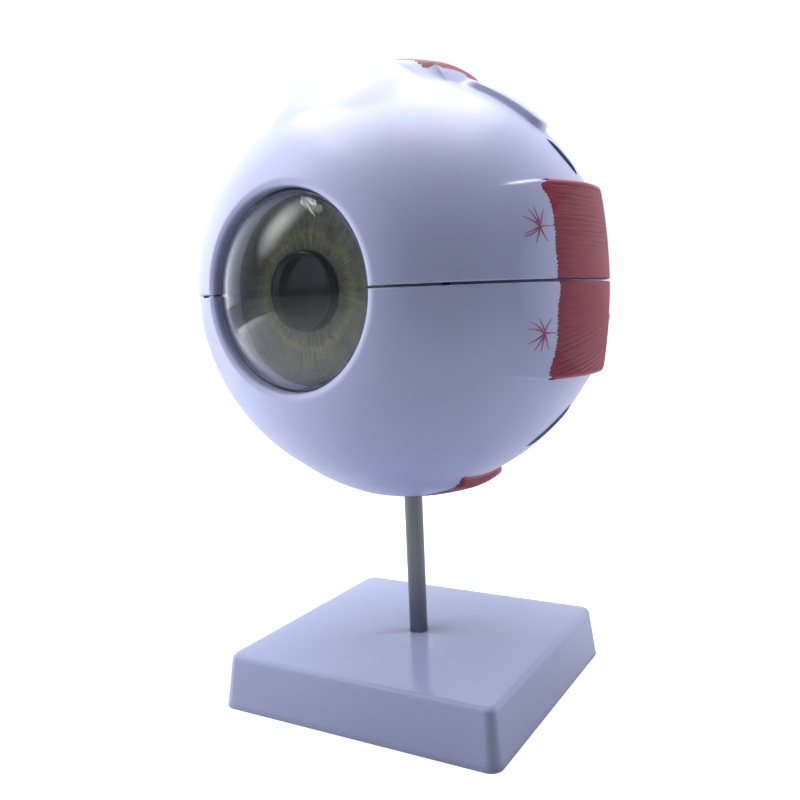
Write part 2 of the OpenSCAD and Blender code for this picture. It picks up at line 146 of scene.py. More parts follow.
floor_half = 3
floor_mesh = bpy.data.meshes.new("tent_floor")
floor_mesh.from_pydata([(-floor_half, -floor_half, 0), (floor_half, -floor_half, 0),
                        (floor_half, floor_half, 0), (-floor_half, floor_half, 0)], [],
                       [(0, 1, 2, 3)])
tent_floor = in_scene("tent_floor", floor_mesh)
paper = bpy.data.materials.new("white_paper")
tree = tree_of(paper)
matt = add(tree, "ShaderNodeBsdfDiffuse", {"Color": (0.36, 0.36, 0.37, 1)})
matt_all = add(tree, "ShaderNodeBsdfDiffuse", {"Color": (0.42, 0.43, 0.46, 1)})
glow = add(tree, "ShaderNodeEmission", {"Color": (1, 1, 1, 1), "Strength": 0.86})
plain = add(tree, "ShaderNodeAddShader", {0: matt.outputs[0], 1: glow.outputs[0]})
rays = add(tree, "ShaderNodeLightPath")
mixed = add(tree, "ShaderNodeMixShader", {0: rays.outputs["Is Camera Ray"],
                                          1: matt_all.outputs[0], 2: plain.outputs[0]})
add(tree, "ShaderNodeOutputMaterial", {"Surface": mixed.outputs[0]})
floor_mesh.materials.append(paper)


def lamp(name, size, power, place, target, soft=False, panes=False):
    """A soft panel. One may fade out towards its edges, and one is broken into small panes."""
    light = bpy.data.lights.new(name, "AREA")
    light.shape = "RECTANGLE"
    light.size, light.size_y = size
    light.energy = power
    brightest = 2.4
    if soft or panes:
        tree = tree_of(light)
        spot = add(tree, "ShaderNodeNewGeometry").outputs["Parametric"]
        centred = add(tree, "ShaderNodeVectorMath", {0: spot, 1: (-0.5, -0.5, 0)}, operation="ADD")
        out = add(tree, "ShaderNodeVectorMath", {0: centred.outputs[0]}, operation="LENGTH")
        shape = add(tree, "ShaderNodeMapRange", {"Value": out.outputs["Value"], "From Min": 0.1,
                                                 "From Max": 0.5, "To Min": brightest,
                                                 "To Max": 0})
        if panes:
            tall = add(tree, "ShaderNodeVectorMath", {0: spot, 1: (15, 5, 1)}, operation="MULTIPLY")
            cells = add(tree, "ShaderNodeTexVoronoi", {"Vector": tall.outputs[0], "Scale": 1})
            shape = add(tree, "ShaderNodeMapRange", {"Value": cells.outputs["Distance"],
                                                     "From Min": 0.3, "From Max": 0.46,
                                                     "To Min": brightest, "To Max": 0})
        shine = add(tree, "ShaderNodeEmission", {"Strength": shape.outputs[0]})
        add(tree, "ShaderNodeOutputLight", {"Surface": shine.outputs[0]})
    made = in_scene(name, light)
    made.location = place
    made.rotation_mode = "QUATERNION"
    made.rotation_quaternion = (Vector(target) - Vector(place)).to_track_quat("-Z", "Y")
    made.visible_camera = False
    return made


window = (0, -0.07, 0.17)
lamp("roof_panel", (0.6, 0.52), 4.3, (-0.06, 0.1, 0.7), (0, 0, 0.15))
for name, power, place in (("nose_side_panel", 5.2, (-0.62, -0.2, 0.2)),
                           ("temple_side_panel", 3.6, (0.42, 0.46, 0.24))):
    side_panel = lamp(name, (0.5, 0.5), power, place, (0, 0, 0.12))
    side_panel.visible_glossy = False
    side_panel.visible_transmission = False
lamp("window_band", (0.3, 0.56), 0.75, (-0.385, -0.31, 0.585), window, soft=True)
lamp("small_panes", (0.27, 0.09), 0.3, (-0.2, -0.265, 0.755), window, panes=True)


# ---- Foot ----
# Square moulded foot in glossy lilac ABS, hollow underneath, with sides that lean in and a small
# rounded edge all round its top. A thick-walled boss under the top takes the rod and its screw.
foot_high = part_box("base_shell")[1]
foot_half = (foot_high.x / MM, foot_high.y / MM)
foot_h = foot_high.z / MM
foot_lean = 2.4
foot_corner = 4.6
foot_edge = 2.2
foot_wall = 3
corner_steps = 10
edge_steps = 6
roof_round = 1.5
rod_low, rod_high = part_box("rod")
rod_r = (rod_high.x - rod_low.x) / 2 / MM
rod_gap = 0.12
boss_wall, boss_floor = 4.5, 3
screw_hole_r = 2.4
weld_mm = 0.002


def outward_mesh(name, points, faces, weld=True, fill=False):
    """A mesh with its doubles merged, its open ends filled where asked, and its faces outwards."""
    mesh = bpy.data.meshes.new(name)
    mesh.from_pydata(np.asarray(points, float).tolist(), [], [tuple(map(int, f)) for f in faces])
    work = bmesh.new()
    work.from_mesh(mesh)
    if weld:
        bmesh.ops.remove_doubles(work, verts=work.verts, dist=weld_mm)
    if fill:
        bmesh.ops.triangle_fill(work, edges=[e for e in work.edges if e.is_boundary],
                                use_beauty=True)
    bmesh.ops.recalc_face_normals(work, faces=work.faces)
    work.to_mesh(mesh)
    work.free()
    return mesh


def piece(name, points, faces, body, replaces=(), place=None, finish=None, sharp=40):
    """A mesh piece from points in millimetres, put in place, closed, with its faces outwards."""
    settle(name, outward_mesh(name, points, faces), body, replaces, place, finish, sharp)


def settle(name, mesh, body, replaces=(), place=None, finish=None, sharp=40):
    """Takes a finished mesh in millimetres to its place in metres and rides it on its body."""
    mesh.transform(Matrix.Scale(MM, 4) if place is None else place @ Matrix.Scale(MM, 4))
    mesh.shade_smooth()
    mesh.set_sharp_from_angle(angle=math.radians(sharp))
    mesh.materials.clear()
    if finish:
        mesh.materials.append(finish)
    made = in_scene(name, mesh)
    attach(made, body)
    if replaces:
        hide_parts(*replaces)


def loft(rings):
    """Quads between rings of equally many points, closed round, in one list of points."""
    count = len(rings[0])
    faces = []
    for i in range(len(rings) - 1):
        for j in range(count):
            k = (j + 1) % count
            faces.append((i * count + j, i * count + k, (i + 1) * count + k, (i + 1) * count + j))
    return np.vstack(rings), faces


def rounded_square(half_x, half_y, corner, z):
    """A ring round a rounded rectangle at one height, anticlockwise."""
    ring = []
    for quarter in range(4):
        sx = (1, -1, -1, 1)[quarter]
        sy = (1, 1, -1, -1)[quarter]
        for step in range(corner_steps + 1):
            turn = math.radians(90 * (quarter + step / corner_steps))
            ring.append((sx * (half_x - corner) + corner * math.cos(turn),
                         sy * (half_y - corner) + corner * math.sin(turn), z))
    return np.array(ring)


def round_ring(radius, z, like):
    """A ring on a circle, with its points at the same turns as those of another ring."""
    turns = np.arctan2(like[:, 1], like[:, 0])
    return np.stack([radius * np.cos(turns), radius * np.sin(turns), np.full(len(like), z)], 1)


def foot_ring(inset, z, lean_z):
    """A ring of the foot's side, set in from it, where the side has leant in up to a height."""
    lean = foot_lean * lean_z / foot_h
    corner = max(foot_corner - 0.4 * lean - 0.6 * inset, 0.6)
    return rounded_square(foot_half[0] - lean - inset, foot_half[1] - lean - inset, corner, z)


hole_r = rod_r + rod_gap
under_r = hole_r + boss_wall
boss_low = rod_low.z / MM - boss_floor
roof_z = foot_h - foot_wall
wall_low, wall_high = 0.4, roof_z - roof_round
under = [foot_ring(foot_wall, wall_low, 0)]
for step in range(5):
    z = wall_low + (wall_high - wall_low) * step / 4
    under.append(foot_ring(foot_wall, z, z))
for step in range(1, 5):
    turn = math.radians(90 * step / 4)
    under.append(foot_ring(foot_wall + roof_round * (1 - math.cos(turn)),
                           wall_high + roof_round * math.sin(turn), roof_z))
under.reverse()
outer = [foot_ring(foot_wall * 0.5, 0, 0), foot_ring(0.5, 0, 0), foot_ring(0.12, 0.15, 0),
         foot_ring(0, 0.5, 0)]
for step in range(1, 9):
    z = 0.5 + (foot_h - foot_edge - 0.5) * step / 8
    outer.append(foot_ring(0, z, z))
for step in range(1, edge_steps + 1):
    turn = math.radians(90 * step / edge_steps)
    outer.append(foot_ring(foot_edge * (1 - math.cos(turn)),
                           foot_h - foot_edge * (1 - math.sin(turn)), foot_h - foot_edge))
flat = outer[-1]
for share in (0.85, 0.6, 0.3):
    outer.append(flat * share + round_ring(hole_r + 2, foot_h, flat) * (1 - share))
for radius, z in ((hole_r + 0.5, foot_h), (hole_r + 0.15, foot_h - 0.15), (hole_r, foot_h - 0.5),
                  (hole_r, boss_low + boss_floor), (screw_hole_r, boss_low + boss_floor),
                  (screw_hole_r, boss_low), (under_r - 0.4, boss_low), (under_r, boss_low + 0.4),
                  (under_r, roof_z - 2), (under_r + 0.6, roof_z - 0.6), (under_r + 2, roof_z)):
    outer.append(round_ring(radius, z, flat))
boss_foot = outer[-1]
for share in (0.3, 0.65):
    outer.append(under[0] * share + boss_foot * (1 - share))
points, faces = loft(outer + under + outer[:1])


def new_finish(name):
    """An empty material, its tree, and the place on the piece that its patterns follow."""
    made = bpy.data.materials.new(name)
    tree = tree_of(made)
    return made, tree, add(tree, "ShaderNodeTexCoord").outputs["Object"]


def gloss_plastic(name, code, deep_code, dull=0.3, grain=0.9, speck=0.25):
    """Injection-moulded lilac ABS: one even colour with a faint cloudiness from the masterbatch, a
    soft gloss, and the very fine orange peel that a polished steel mould leaves."""
    made, tree, place = new_finish(name)
    cloud = add(tree, "ShaderNodeTexNoise", {"Vector": place, "Scale": 1 / (28 * MM), "Detail": 3})
    colour = add(tree, "ShaderNodeMix", {0: cloud.outputs["Fac"], 6: linear(code),
                                         7: linear(deep_code)}, data_type="RGBA")
    peel = add(tree, "ShaderNodeTexNoise", {"Vector": place, "Scale": 1 / (grain * MM), "Detail": 2})
    scuff = add(tree, "ShaderNodeTexNoise", {"Vector": place, "Scale": 1 / (7 * MM), "Detail": 5})
    rough = add(tree, "ShaderNodeMapRange", {"Value": scuff.outputs["Fac"], "From Min": 0.3,
                                             "From Max": 0.75, "To Min": dull - 0.03,
                                             "To Max": dull + 0.06})
    bump = add(tree, "ShaderNodeBump", {"Height": peel.outputs["Fac"], "Strength": speck,
                                        "Distance": 0.03 * MM})
    skin = add(tree, "ShaderNodeBsdfPrincipled", {
        "Base Color": colour.outputs[2], "Roughness": rough.outputs[0], "IOR": 1.52,
        "Normal": bump.outputs[0]})
    add(tree, "ShaderNodeOutputMaterial", {"Surface": skin.outputs[0]})
    return made


foot_plastic = gloss_plastic("moulded_lilac_abs", "#9ba2c5", "#959cbf", dull=0.14)
piece("foot", points, faces, "stand", ["base_shell"], finish=foot_plastic, sharp=35)

# ---- Rod, washer and screw ----
# Drawn stainless rod with fine lengthwise lines, held from below by a plain washer and a
# cross-slot screw in bright zinc-plated steel. The line-up pins in the seam are coloured near
# black as painted shade, so that the seam between the halves stays dark.
def drawn_steel(name, code, dull, line_mm, along, bright="#8f9298"):
    """Drawn or turned steel: a grey metal whose tool lines run one way and stretch its highlights."""
    made, tree, place = new_finish(name)
    stretch = add(tree, "ShaderNodeMapping", {"Vector": place, "Scale": along})
    lines = add(tree, "ShaderNodeTexNoise", {"Vector": stretch.outputs[0],
                                             "Scale": 1 / (line_mm * MM), "Detail": 4})
    tone = add(tree, "ShaderNodeMix", {0: lines.outputs["Fac"], 6: linear(code),
                                       7: linear(bright)}, data_type="RGBA")
    rough = add(tree, "ShaderNodeMapRange", {"Value": lines.outputs["Fac"], "To Min": dull - 0.06,
                                             "To Max": dull + 0.1})
    bump = add(tree, "ShaderNodeBump", {"Height": lines.outputs["Fac"], "Strength": 0.3,
                                        "Distance": 0.02 * MM})
    metal = add(tree, "ShaderNodeBsdfPrincipled", {
        "Base Color": tone.outputs[2], "Metallic": 1, "Roughness": rough.outputs[0],
        "Normal": bump.outputs[0]})
    add(tree, "ShaderNodeOutputMaterial", {"Surface": metal.outputs[0]})
    return made


def dress(node, finish):
    """Gives a CAD node that keeps its own solid a finish of its own."""
    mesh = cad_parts[node].data
    mesh.materials.clear()
    mesh.materials.append(finish)


rod_steel = drawn_steel("drawn_stainless_steel", "#6a6d72", 0.3, 0.35, (1, 1, 0.02))
plated_steel = drawn_steel("bright_zinc_plated_steel", "#a9abad", 0.22, 0.3, (1, 1, 1))
dress("rod", rod_steel)
dress("rod_washer", plated_steel)
dress("rod_screw", plated_steel)
# Painted shade: the seam pins get a near-black steel, so that no glint shows in the seam.
dress("seam_pins", drawn_steel("near_black_steel_seam_shade", "#17181a", 0.4, 0.4, (1, 1, 1), "#2b2c30"))

# ---- White outer shell ----
# Two half balls of the same lilac plastic, moulded in one with the smooth tendons of the muscles,
# the rounded lip of the window and the seat for the iris. A thin open gap parts them.
globe_r = 75
globe_turn = -6
globe_z = 153
globe_place = (Matrix.Translation((0, 0, globe_z * MM))
               @ Matrix.Rotation(math.radians(globe_turn), 4, "Z"))
cavity_r = 71.5
half_gap = 0.4
window_r, window_lip, tube_r = 32.6, 1.2, 36
lip_y = 62.58
rim_dip, rim_power, dip_starts = 1.2, 2, 38
rim_lean = 12
# The rim's turn and the lean of the surface there depend on each other, so they are stepped closer
for _ in range(20):
    lip_reach = window_r + window_lip + window_lip * math.sin(math.radians(rim_lean))
    rim_turn = math.degrees(math.asin(lip_reach / (globe_r - rim_dip)))
    rim_slope = rim_power * rim_dip / math.radians(dip_starts - rim_turn) / (globe_r - rim_dip)
    rim_lean = rim_turn - math.degrees(math.atan(rim_slope))
iris_y = lip_y - 7.5
seat_y, seat_back_y, seat_r = iris_y - 3, iris_y - 6, 28
grid = 1.25
seam_round = 0.5
plain_strip = 1.2
pocket_deep, pocket_in = 1.2, 2.6
pin_turns = (45, 150, -140, -45)
pin_r, pin_circle_r = 1, 73.25

# Each strap: where it rises out of the ball, how fast, how far it stands off along its middle,
# the radius across it, its half widths behind and in front, where it widens, and on which side of
# it, if any, it melts into the ball, with the width of that slope from front to back.
side_strap = dict(fade=54, slide=9, proud=0.7, crown=185, half=31.5, front_half=28.2,
                  flare=(57, 74), melts=0)
top_strap = dict(fade=43, slide=13.5, proud=5.85, crown=78, half=33, front_half=21.1,
                 flare=(66, 75), melts=-1, soft=((72, 80), (20, 9)))
bottom_strap = dict(fade=55, slide=8, proud=2.5, crown=90, half=33, front_half=24.1,
                    flare=(70, 77), melts=1, soft=((66, 80), (16, 3)))
# Each red muscle: its two sides, its rear end, and how round its rear corners are
side_belly = dict(low=-31.5, high=31.5, end=105, corner=3)
top_belly = dict(low=-27.5, high=33, end=112, corner=22)
bottom_belly = dict(low=-33, high=33, end=112, corner=22)
# Which way a strap's own X, Y and Z point in the globe
temple_side = ((1, 0, 0), (0, 1, 0), (0, 0, 1))
nose_side = ((-1, 0, 0), (0, 1, 0), (0, 0, 1))
over_top = ((0, 0, 1), (0, 1, 0), (-1, 0, 0))
under_side = ((0, 0, -1), (0, 1, 0), (1, 0, 0))
# A strap with its muscle, the turn at which the muscle's pocket starts, and where it lies
side_muscle = (side_strap, side_belly, 75.5, (temple_side, nose_side))
top_muscle = (top_strap, top_belly, 84.6, (over_top,))
bottom_muscle = (bottom_strap, bottom_belly, 86.4, (under_side,))
# The superior oblique's slab: its turn, its tip, its lower edge, its width, and how far a degree
# takes along its face
oblique_pan, oblique_tilt = math.radians(14), math.radians(12)
oblique_low, oblique_w, oblique_proud, arc_mm = -0.7, 14, 2.8, 1.33


def step_up(value, low, high):
    """0 below one value and 1 above the other, with a smooth rise between them."""
    share = np.clip((value - low) / (high - low), 0, 1)
    return share * share * (3 - 2 * share)


def turn_from_front(x, y):
    """Degrees round +Z from the way the eye looks."""
    return np.degrees(np.arctan2(x, -y))


def strap_face(x, y, z, shape):
    """For directions in a strap's own frame, where it runs round +X: how far off the middle of the
    ball its face lies, and what share of its height its sloping sides leave there."""
    size = np.sqrt(x * x + y * y + z * z)
    x, y, z = x / size, y / size, z / size
    fade, slide = math.radians(shape["fade"]), shape["slide"]
    crown, half, front_half = shape["crown"], shape["half"], shape["front_half"]
    along = x * math.cos(fade) + y * math.sin(fade)
    ball = slide * along + np.sqrt(globe_r ** 2 - slide ** 2 * (1 - along ** 2))
    middle = globe_r + shape["proud"] - crown
    level = np.sqrt(x * x + y * y)
    barrel = middle * level + np.sqrt(middle ** 2 * (level ** 2 - 1) + crown ** 2)
    far = np.minimum(ball, barrel)
    ends = [-(globe_r + shape["proud"]) * math.cos(math.radians(a)) for a in shape["flare"]]
    width = np.interp(y * far, ends, (front_half, half))
    slope = (half - front_half) / (ends[1] - ends[0])
    sloping = (y * far > ends[0]) & (y * far < ends[1])
    inside = (width - np.abs(z * far)) * np.where(sloping, 1 / math.hypot(1, slope), 1)
    share = step_up(inside, -1.1, 1.1)
    if shape["melts"]:
        flank = np.interp(turn_from_front(x, y), *shape["soft"])
        share = np.where(z * shape["melts"] > 0, step_up(half - np.abs(z * far), -1.1, flank), share)
    return far, np.where(x > 0, share, 0)


def belly_inside(turn, across, outline):
    """How far a place lies inside the outline of a red muscle, whose rear corners are round."""
    side = np.minimum(outline["high"] - across, across - outline["low"])
    rear = np.radians(outline["end"] - turn) * globe_r
    corner = outline["corner"]
    return corner - np.hypot(np.maximum(corner - side, 0), np.maximum(corner - rear, 0))


def rounding(short, radius):
    """How far a rounded edge drops at a place that lies so far into it."""
    short = np.clip(short, 0, radius)
    return radius - np.sqrt(radius ** 2 - short ** 2)


def join_soft(first, second, reach):
    """The higher of two heights, with a fillet where they meet."""
    share = np.clip(0.5 + 0.5 * (first - second) / reach, 0, 1)
    return second + (first - second) * share + reach * share * (1 - share)


def oblique_place(x, y, z):
    """The superior oblique's own frame, turned about Z and then tipped."""
    pan_cos, pan_sin = math.cos(oblique_pan), math.sin(oblique_pan)
    tilt_cos, tilt_sin = math.cos(oblique_tilt), math.sin(oblique_tilt)
    px, py = x * pan_cos + y * pan_sin, y * pan_cos - x * pan_sin
    return px, py * tilt_cos + z * tilt_sin, z * tilt_cos - py * tilt_sin


def each_strap(x, y, z):
    """For each strap, on each side: its muscle's outline and pocket, whether each direction lies
    on that side, its face there, and the turn and the place across it."""
    for shape, outline, pocket, sides in (side_muscle, top_muscle, bottom_muscle):
        for own_axes in sides:
            fx, fy, fz = np.array(own_axes, float) @ np.stack([x, y, z])
            far, share = strap_face(fx, fy, fz, shape)
            yield outline, pocket, fx > 0, far, share, turn_from_front(fx, fy), fz * far


def shell_height(x, y, z):
    """How far the moulded shell stands off the plain ball in the direction of each point."""
    height = np.zeros_like(x)
    size = np.sqrt(x * x + y * y + z * z)
    x, y, z = x / size, y / size, z / size
    for outline, pocket, _, far, share, turn, across in each_strap(x, y, z):
        stop = step_up(turn, pocket - 0.4, pocket + 0.1)
        if outline is top_belly:
            beside = step_up(belly_inside(turn, across, outline), 0.3, 1.0)
            stop = stop * np.where(across < 0, beside, 1)
            share = share * (1 - step_up(turn, 92, 106))
        height = join_soft(height, np.maximum(far - globe_r, 0) * share * (1 - stop), 0.5)
    ox, oy, oz = oblique_place(x, y, z)
    ridge_r, ridge_corner = 77, 6.5
    across = np.minimum(oy * ridge_r - oblique_low, oblique_low + oblique_w - oy * ridge_r)
    tip = np.degrees(np.arctan2(ox, oz))
    end_in = arc_mm * np.where(tip > 0, np.minimum(47.5 - tip, tip - 22),
                               np.minimum(tip + 39, -24 - tip))
    both = ridge_corner - np.hypot(np.maximum(ridge_corner - across, 0),
                                   np.maximum(ridge_corner - end_in, 0))
    inside = np.where(tip > 0, both, np.minimum(across, end_in))
    height = join_soft(height, oblique_proud * step_up(inside, -1.2, 1.7), 0.8)
    return np.maximum(height, 0)


def pocket_depth(x, y, z):
    """The shallow pockets under the red muscles, each well inside its muscle's outline."""
    size = np.sqrt(x * x + y * y + z * z)
    depth = np.zeros_like(x)
    for outline, pocket, here, _, _, turn, across in each_strap(x / size, y / size, z / size):
        inside = belly_inside(turn, across, outline) > pocket_in
        depth = np.where(here & inside & (turn > pocket), pocket_deep, depth)
    return depth


def shell_profile():
    """The half section of the shell from the back outside, round the window's lip, to the back
    inside: distance from the line of sight, and distance in front of the middle."""
    tube_turn = math.degrees(math.asin(tube_r / cavity_r))
    rows = []
    count = int((180 - rim_turn) * math.radians(1) * globe_r / grid)
    least = math.degrees(math.asin(half_gap / globe_r))
    for turn in np.linspace(180 - least, rim_turn, count + 1):
        rows.append((globe_r * math.sin(math.radians(turn)), globe_r * math.cos(math.radians(turn))))
    rim_r = globe_r - rim_dip
    arc_y = rim_r * math.cos(math.radians(rim_turn)) - window_lip * math.cos(math.radians(rim_lean))
    for turn in np.linspace(90 - rim_lean, 180, 9)[1:]:
        rows.append((window_r + window_lip + window_lip * math.cos(math.radians(turn)),
                     arc_y + window_lip * math.sin(math.radians(turn))))
    rows += [(window_r, iris_y + 2), (window_r, seat_y), (seat_r + 0.2, seat_y),
             (seat_r, seat_y - 0.2), (seat_r, seat_back_y), (tube_r - 4, seat_back_y),
             (tube_r, seat_back_y), (tube_r, seat_back_y + 6)]
    least = math.degrees(math.asin(half_gap / cavity_r))
    for turn in np.linspace(tube_turn, 180 - least, 56):
        rows.append((cavity_r * math.sin(math.radians(turn)), cavity_r * math.cos(math.radians(turn))))
    return np.array(rows)


def half_ball(profile, sign, columns):
    """A half revolved section, cut flat at the seam, with extra columns close to the seam."""
    near, wide_enough = np.array([0, 0.12, 0.3, 0.55, 1.0]), 7.6
    rows = []
    for reach, front in profile:
        reach = max(reach, half_gap)
        lifts = half_gap + near * min(max((reach - half_gap) / wide_enough, 0), 1)
        edge = np.arcsin(np.clip(lifts / reach, -1, 1))
        turns = np.concatenate([edge[:-1], np.linspace(edge[-1], math.pi - edge[-1], columns),
                                math.pi - edge[:-1][::-1]])
        rows.append(np.stack([reach * np.cos(turns), np.full(len(turns), -front),
                              sign * reach * np.sin(turns)], 1))
    wide = len(rows[0])
    faces = [(i * wide + j, i * wide + j + 1, (i + 1) * wide + j + 1, (i + 1) * wide + j)
             for i in range(len(rows) - 1) for j in range(wide - 1)]
    return np.vstack(rows), faces


def on_outside(points):
    """Which points lie on the ball's outer face, behind the rim of the window."""
    size = np.linalg.norm(points, axis=1)
    return (size > globe_r - 0.5) & (-points[:, 1] / size < math.cos(math.radians(rim_turn - 0.01)))


def mould(points):
    """Moves the outer points of a half ball to the moulded surface, keeping the seam flat."""
    out = on_outside(points)
    x, y, z = points[out].T
    lift = np.abs(z) - half_gap
    size = np.linalg.norm(points[out], axis=1)
    off_front = np.degrees(np.arccos(np.clip(-y / size, -1, 1)))
    dip = np.maximum((dip_starts - off_front) / (dip_starts - rim_turn), 0) ** rim_power * rim_dip
    far = globe_r + shell_height(x, y, z) - rounding(seam_round - lift, seam_round) - dip
    far -= pocket_depth(x, y, z) * (lift > plain_strip)
    grow = step_up(np.abs(z), 1.0, 8.0)
    new_z = z * (1 + (far / size - 1) * grow)
    level = np.sqrt(np.maximum(far ** 2 - new_z ** 2, 0)) / np.maximum(np.hypot(x, y), 1e-6)
    made = points.copy()
    made[out] = np.stack([x * level, y * level, new_z], 1)
    return made


def half_shell(sign):
    """The upper or the lower half of the shell, with a finer mesh where its face is steep."""
    points, faces = half_ball(shell_profile(), sign, 188)
    mesh = bpy.data.meshes.new("half_shell")
    mesh.from_pydata(points.tolist(), [], faces)
    work = bmesh.new()
    work.from_mesh(mesh)
    bmesh.ops.remove_doubles(work, verts=work.verts, dist=weld_mm)
    for limit in (0.14, 0.09):
        work.verts.index_update()
        place = np.array([v.co for v in work.verts])
        out = on_outside(place)
        lift = np.zeros(len(place))
        lift[out] = shell_height(*place[out].T)
        steep = [e for e in work.edges
                 if out[e.verts[0].index] and out[e.verts[1].index]
                 and abs(lift[e.verts[0].index] - lift[e.verts[1].index]) > limit]
        near = set(steep)
        for edge in steep:
            for face in edge.link_faces:
                near.update(face.edges)
        near = [e for e in near if not e.is_boundary and all(out[v.index] for v in e.verts)
                and min(abs(v.co.z) for v in e.verts) > plain_strip]
        bmesh.ops.subdivide_edges(work, edges=near, cuts=1, use_grid_fill=True)
    loose = [e for e in work.edges if e.is_boundary]
    bmesh.ops.triangle_fill(work, edges=loose, use_beauty=True)
    work.verts.index_update()
    place = mould(np.array([v.co for v in work.verts]))
    for vert, co in zip(work.verts, place.tolist()):
        vert.co = co
    bmesh.ops.recalc_face_normals(work, faces=work.faces)
    work.to_mesh(mesh)
    work.free()
    return mesh


def cylinder(radius, low, high, place=Matrix.Identity(4), sides=48):
    """A cutter along +Z, or along where a place takes it."""
    work = bmesh.new()
    bmesh.ops.create_cone(work, cap_ends=True, segments=sides, radius1=radius, radius2=radius,
                          depth=high - low, matrix=place @ Matrix.Translation((0, 0, (low + high) / 2)))
    mesh = bpy.data.meshes.new("cutter")
    work.to_mesh(mesh)
    work.free()
    return mesh


def drilled(mesh, cutters):
    """A closed mesh with closed cutters taken out of it."""
    body = in_scene("drilled", mesh)
    tools = []
    for cutter in cutters:
        tool = in_scene("cutter", cutter)
        cut = body.modifiers.new("cut", "BOOLEAN")
        cut.operation, cut.object, cut.solver = "DIFFERENCE", tool, "MANIFOLD"
        tools.append(tool)
    view = bpy.context.evaluated_depsgraph_get()
    made = bpy.data.meshes.new_from_object(body.evaluated_get(view))
    for old in [body] + tools:
        bpy.data.objects.remove(old)
    return made


def pin_bores(clearance, depth):
    """Cutters for the pins' holes in one half."""
    return [cylinder(pin_r + clearance, -depth, depth,
                     Matrix.Rotation(math.radians(turn), 4, "Z")
                     @ Matrix.Translation((0, -pin_circle_r, 0)), 24) for turn in pin_turns]


shell_plastic = gloss_plastic("lilac_shell_abs", "#b9bfe5", "#b3b9df", dull=0.33, grain=0.7,
                              speck=0.35)
upper_shell = drilled(half_shell(1), pin_bores(0.12, 4.3))
settle("upper_shell", upper_shell, "upper_half", ["sclera_upper"],
       globe_place, shell_plastic, sharp=50)
rod_bore = cylinder(rod_r + 0.06, -90, -60)
lower_shell = drilled(half_shell(-1), pin_bores(0.02, 4) + [rod_bore])
settle("lower_shell", lower_shell, "lower_half", ["sclera_lower"],
       globe_place, shell_plastic, sharp=50)


def revolve(section, count):
    """A closed section (distance from +Z, height) turned right round +Z."""
    turns = np.linspace(0, 2 * math.pi, count, endpoint=False)
    rows = [np.stack([r * np.cos(turns), r * np.sin(turns), np.full(count, h)], 1)
            for r, h in section]
    return loft(rows)


def look_forward(points):
    """Turns +Z to the way the eye looks."""
    return np.stack([points[:, 0], -points[:, 2], points[:, 1]], 1)


# Boss inside the lower half that grips the rod
grip_low, grip_top, bore_top = -72, -57, -60
bore_r = rod_r + 0.05
grip_r = bore_r + boss_wall
grip = [(bore_r, grip_low), (grip_r, grip_low), (grip_r, grip_top - 1),
        (grip_r - 0.25, grip_top - 0.3), (grip_r - 1, grip_top), (0, grip_top), (0, bore_top),
        (bore_r, bore_top), (bore_r, grip_low)]
points, faces = revolve(grip, 64)
piece("rod_grip", points, faces, "lower_half", place=globe_place,
      finish=shell_plastic)

# Tongue that stands on the lower half's seam and keeps light out of the closed eyeball
tongue = []
tongue_in, tongue_out, tongue_low, tongue_top = 71.6, 72.2, -0.8, 0.3
for turn in np.linspace(31, 329, 160):
    out = np.array([math.sin(math.radians(turn)), -math.cos(math.radians(turn)), 0])
    tongue.append(np.array([out * tongue_in + (0, 0, tongue_low), out * tongue_out + (0, 0, tongue_low),
                            out * tongue_out + (0, 0, tongue_top), out * tongue_in + (0, 0, tongue_top)]))
points, faces = loft(tongue)
last = len(points)
faces += [(0, 1, 2, 3), (last - 4, last - 3, last - 2, last - 1)]
piece("seam_tongue", points, faces, "lower_half", place=globe_place,
      finish=shell_plastic)

# ---- Muscles ----
# Red bellies glued into pockets in the shell. Their fibres are grooves cut in the mould, the deep
# red paint is brushed on and ends in a ragged line on the white tendon.
belly_floor = 73.6
belly_edge, seam_edge = 0.9, 0.35
paint_skin = 0.07
edge_lanes = np.array([0, 0.05, 0.15, 0.3, 0.5, 0.7, 0.9])


def wander(*values, seed=0):
    """A smooth repeatable waviness between about -1 and 1, the same for the same place."""
    maker = np.random.default_rng(seed)
    total = 0
    for octave in range(5):
        share = 0
        for value in values:
            share = share + value * maker.uniform(0.6, 1.4) * maker.choice([-1, 1]) * 1.9 ** octave
        total = total + np.sin(share + maker.uniform(0, 6.28)) / 1.5 ** octave
    return total / 2.2


def per_line(index, seed):
    """A repeatable number from 0 to 1 for each whole-numbered line."""
    return np.modf(np.abs(np.sin(index * 12.9898 + seed * 78.233) * 43758.5453))[0]


def fibre_relief(along, across, pitch, lean, weight, seed):
    """Height of mould-cut fibres, a fine valley with a slight ridge beside it, and the valley's depth,
    which the paint uses as the mask for painted shade in the grooves.
    """
    lane = (across + lean * along + 0.13 * wander(along / 11, across / 14, seed=seed)) / pitch
    lane = lane + 0.12 * wander(along / 19, across / 3.1, seed=seed + 1)
    index = np.floor(lane)
    share = lane - index
    strength = 0.5 + 0.5 * per_line(index, seed)
    reach = step_up(per_line(index, seed + 3) * 1.5 + 0.3 * wander(along / 8, index, seed=seed + 4),
                    0.0, 0.22)
    valley = np.exp(-((share - 0.5) / 0.12) ** 2) * strength * reach * weight
    ridge = np.exp(-((share - 0.22) / 0.17) ** 2) * strength * reach * weight
    return 0.07 * ridge - 0.2 * valley, valley


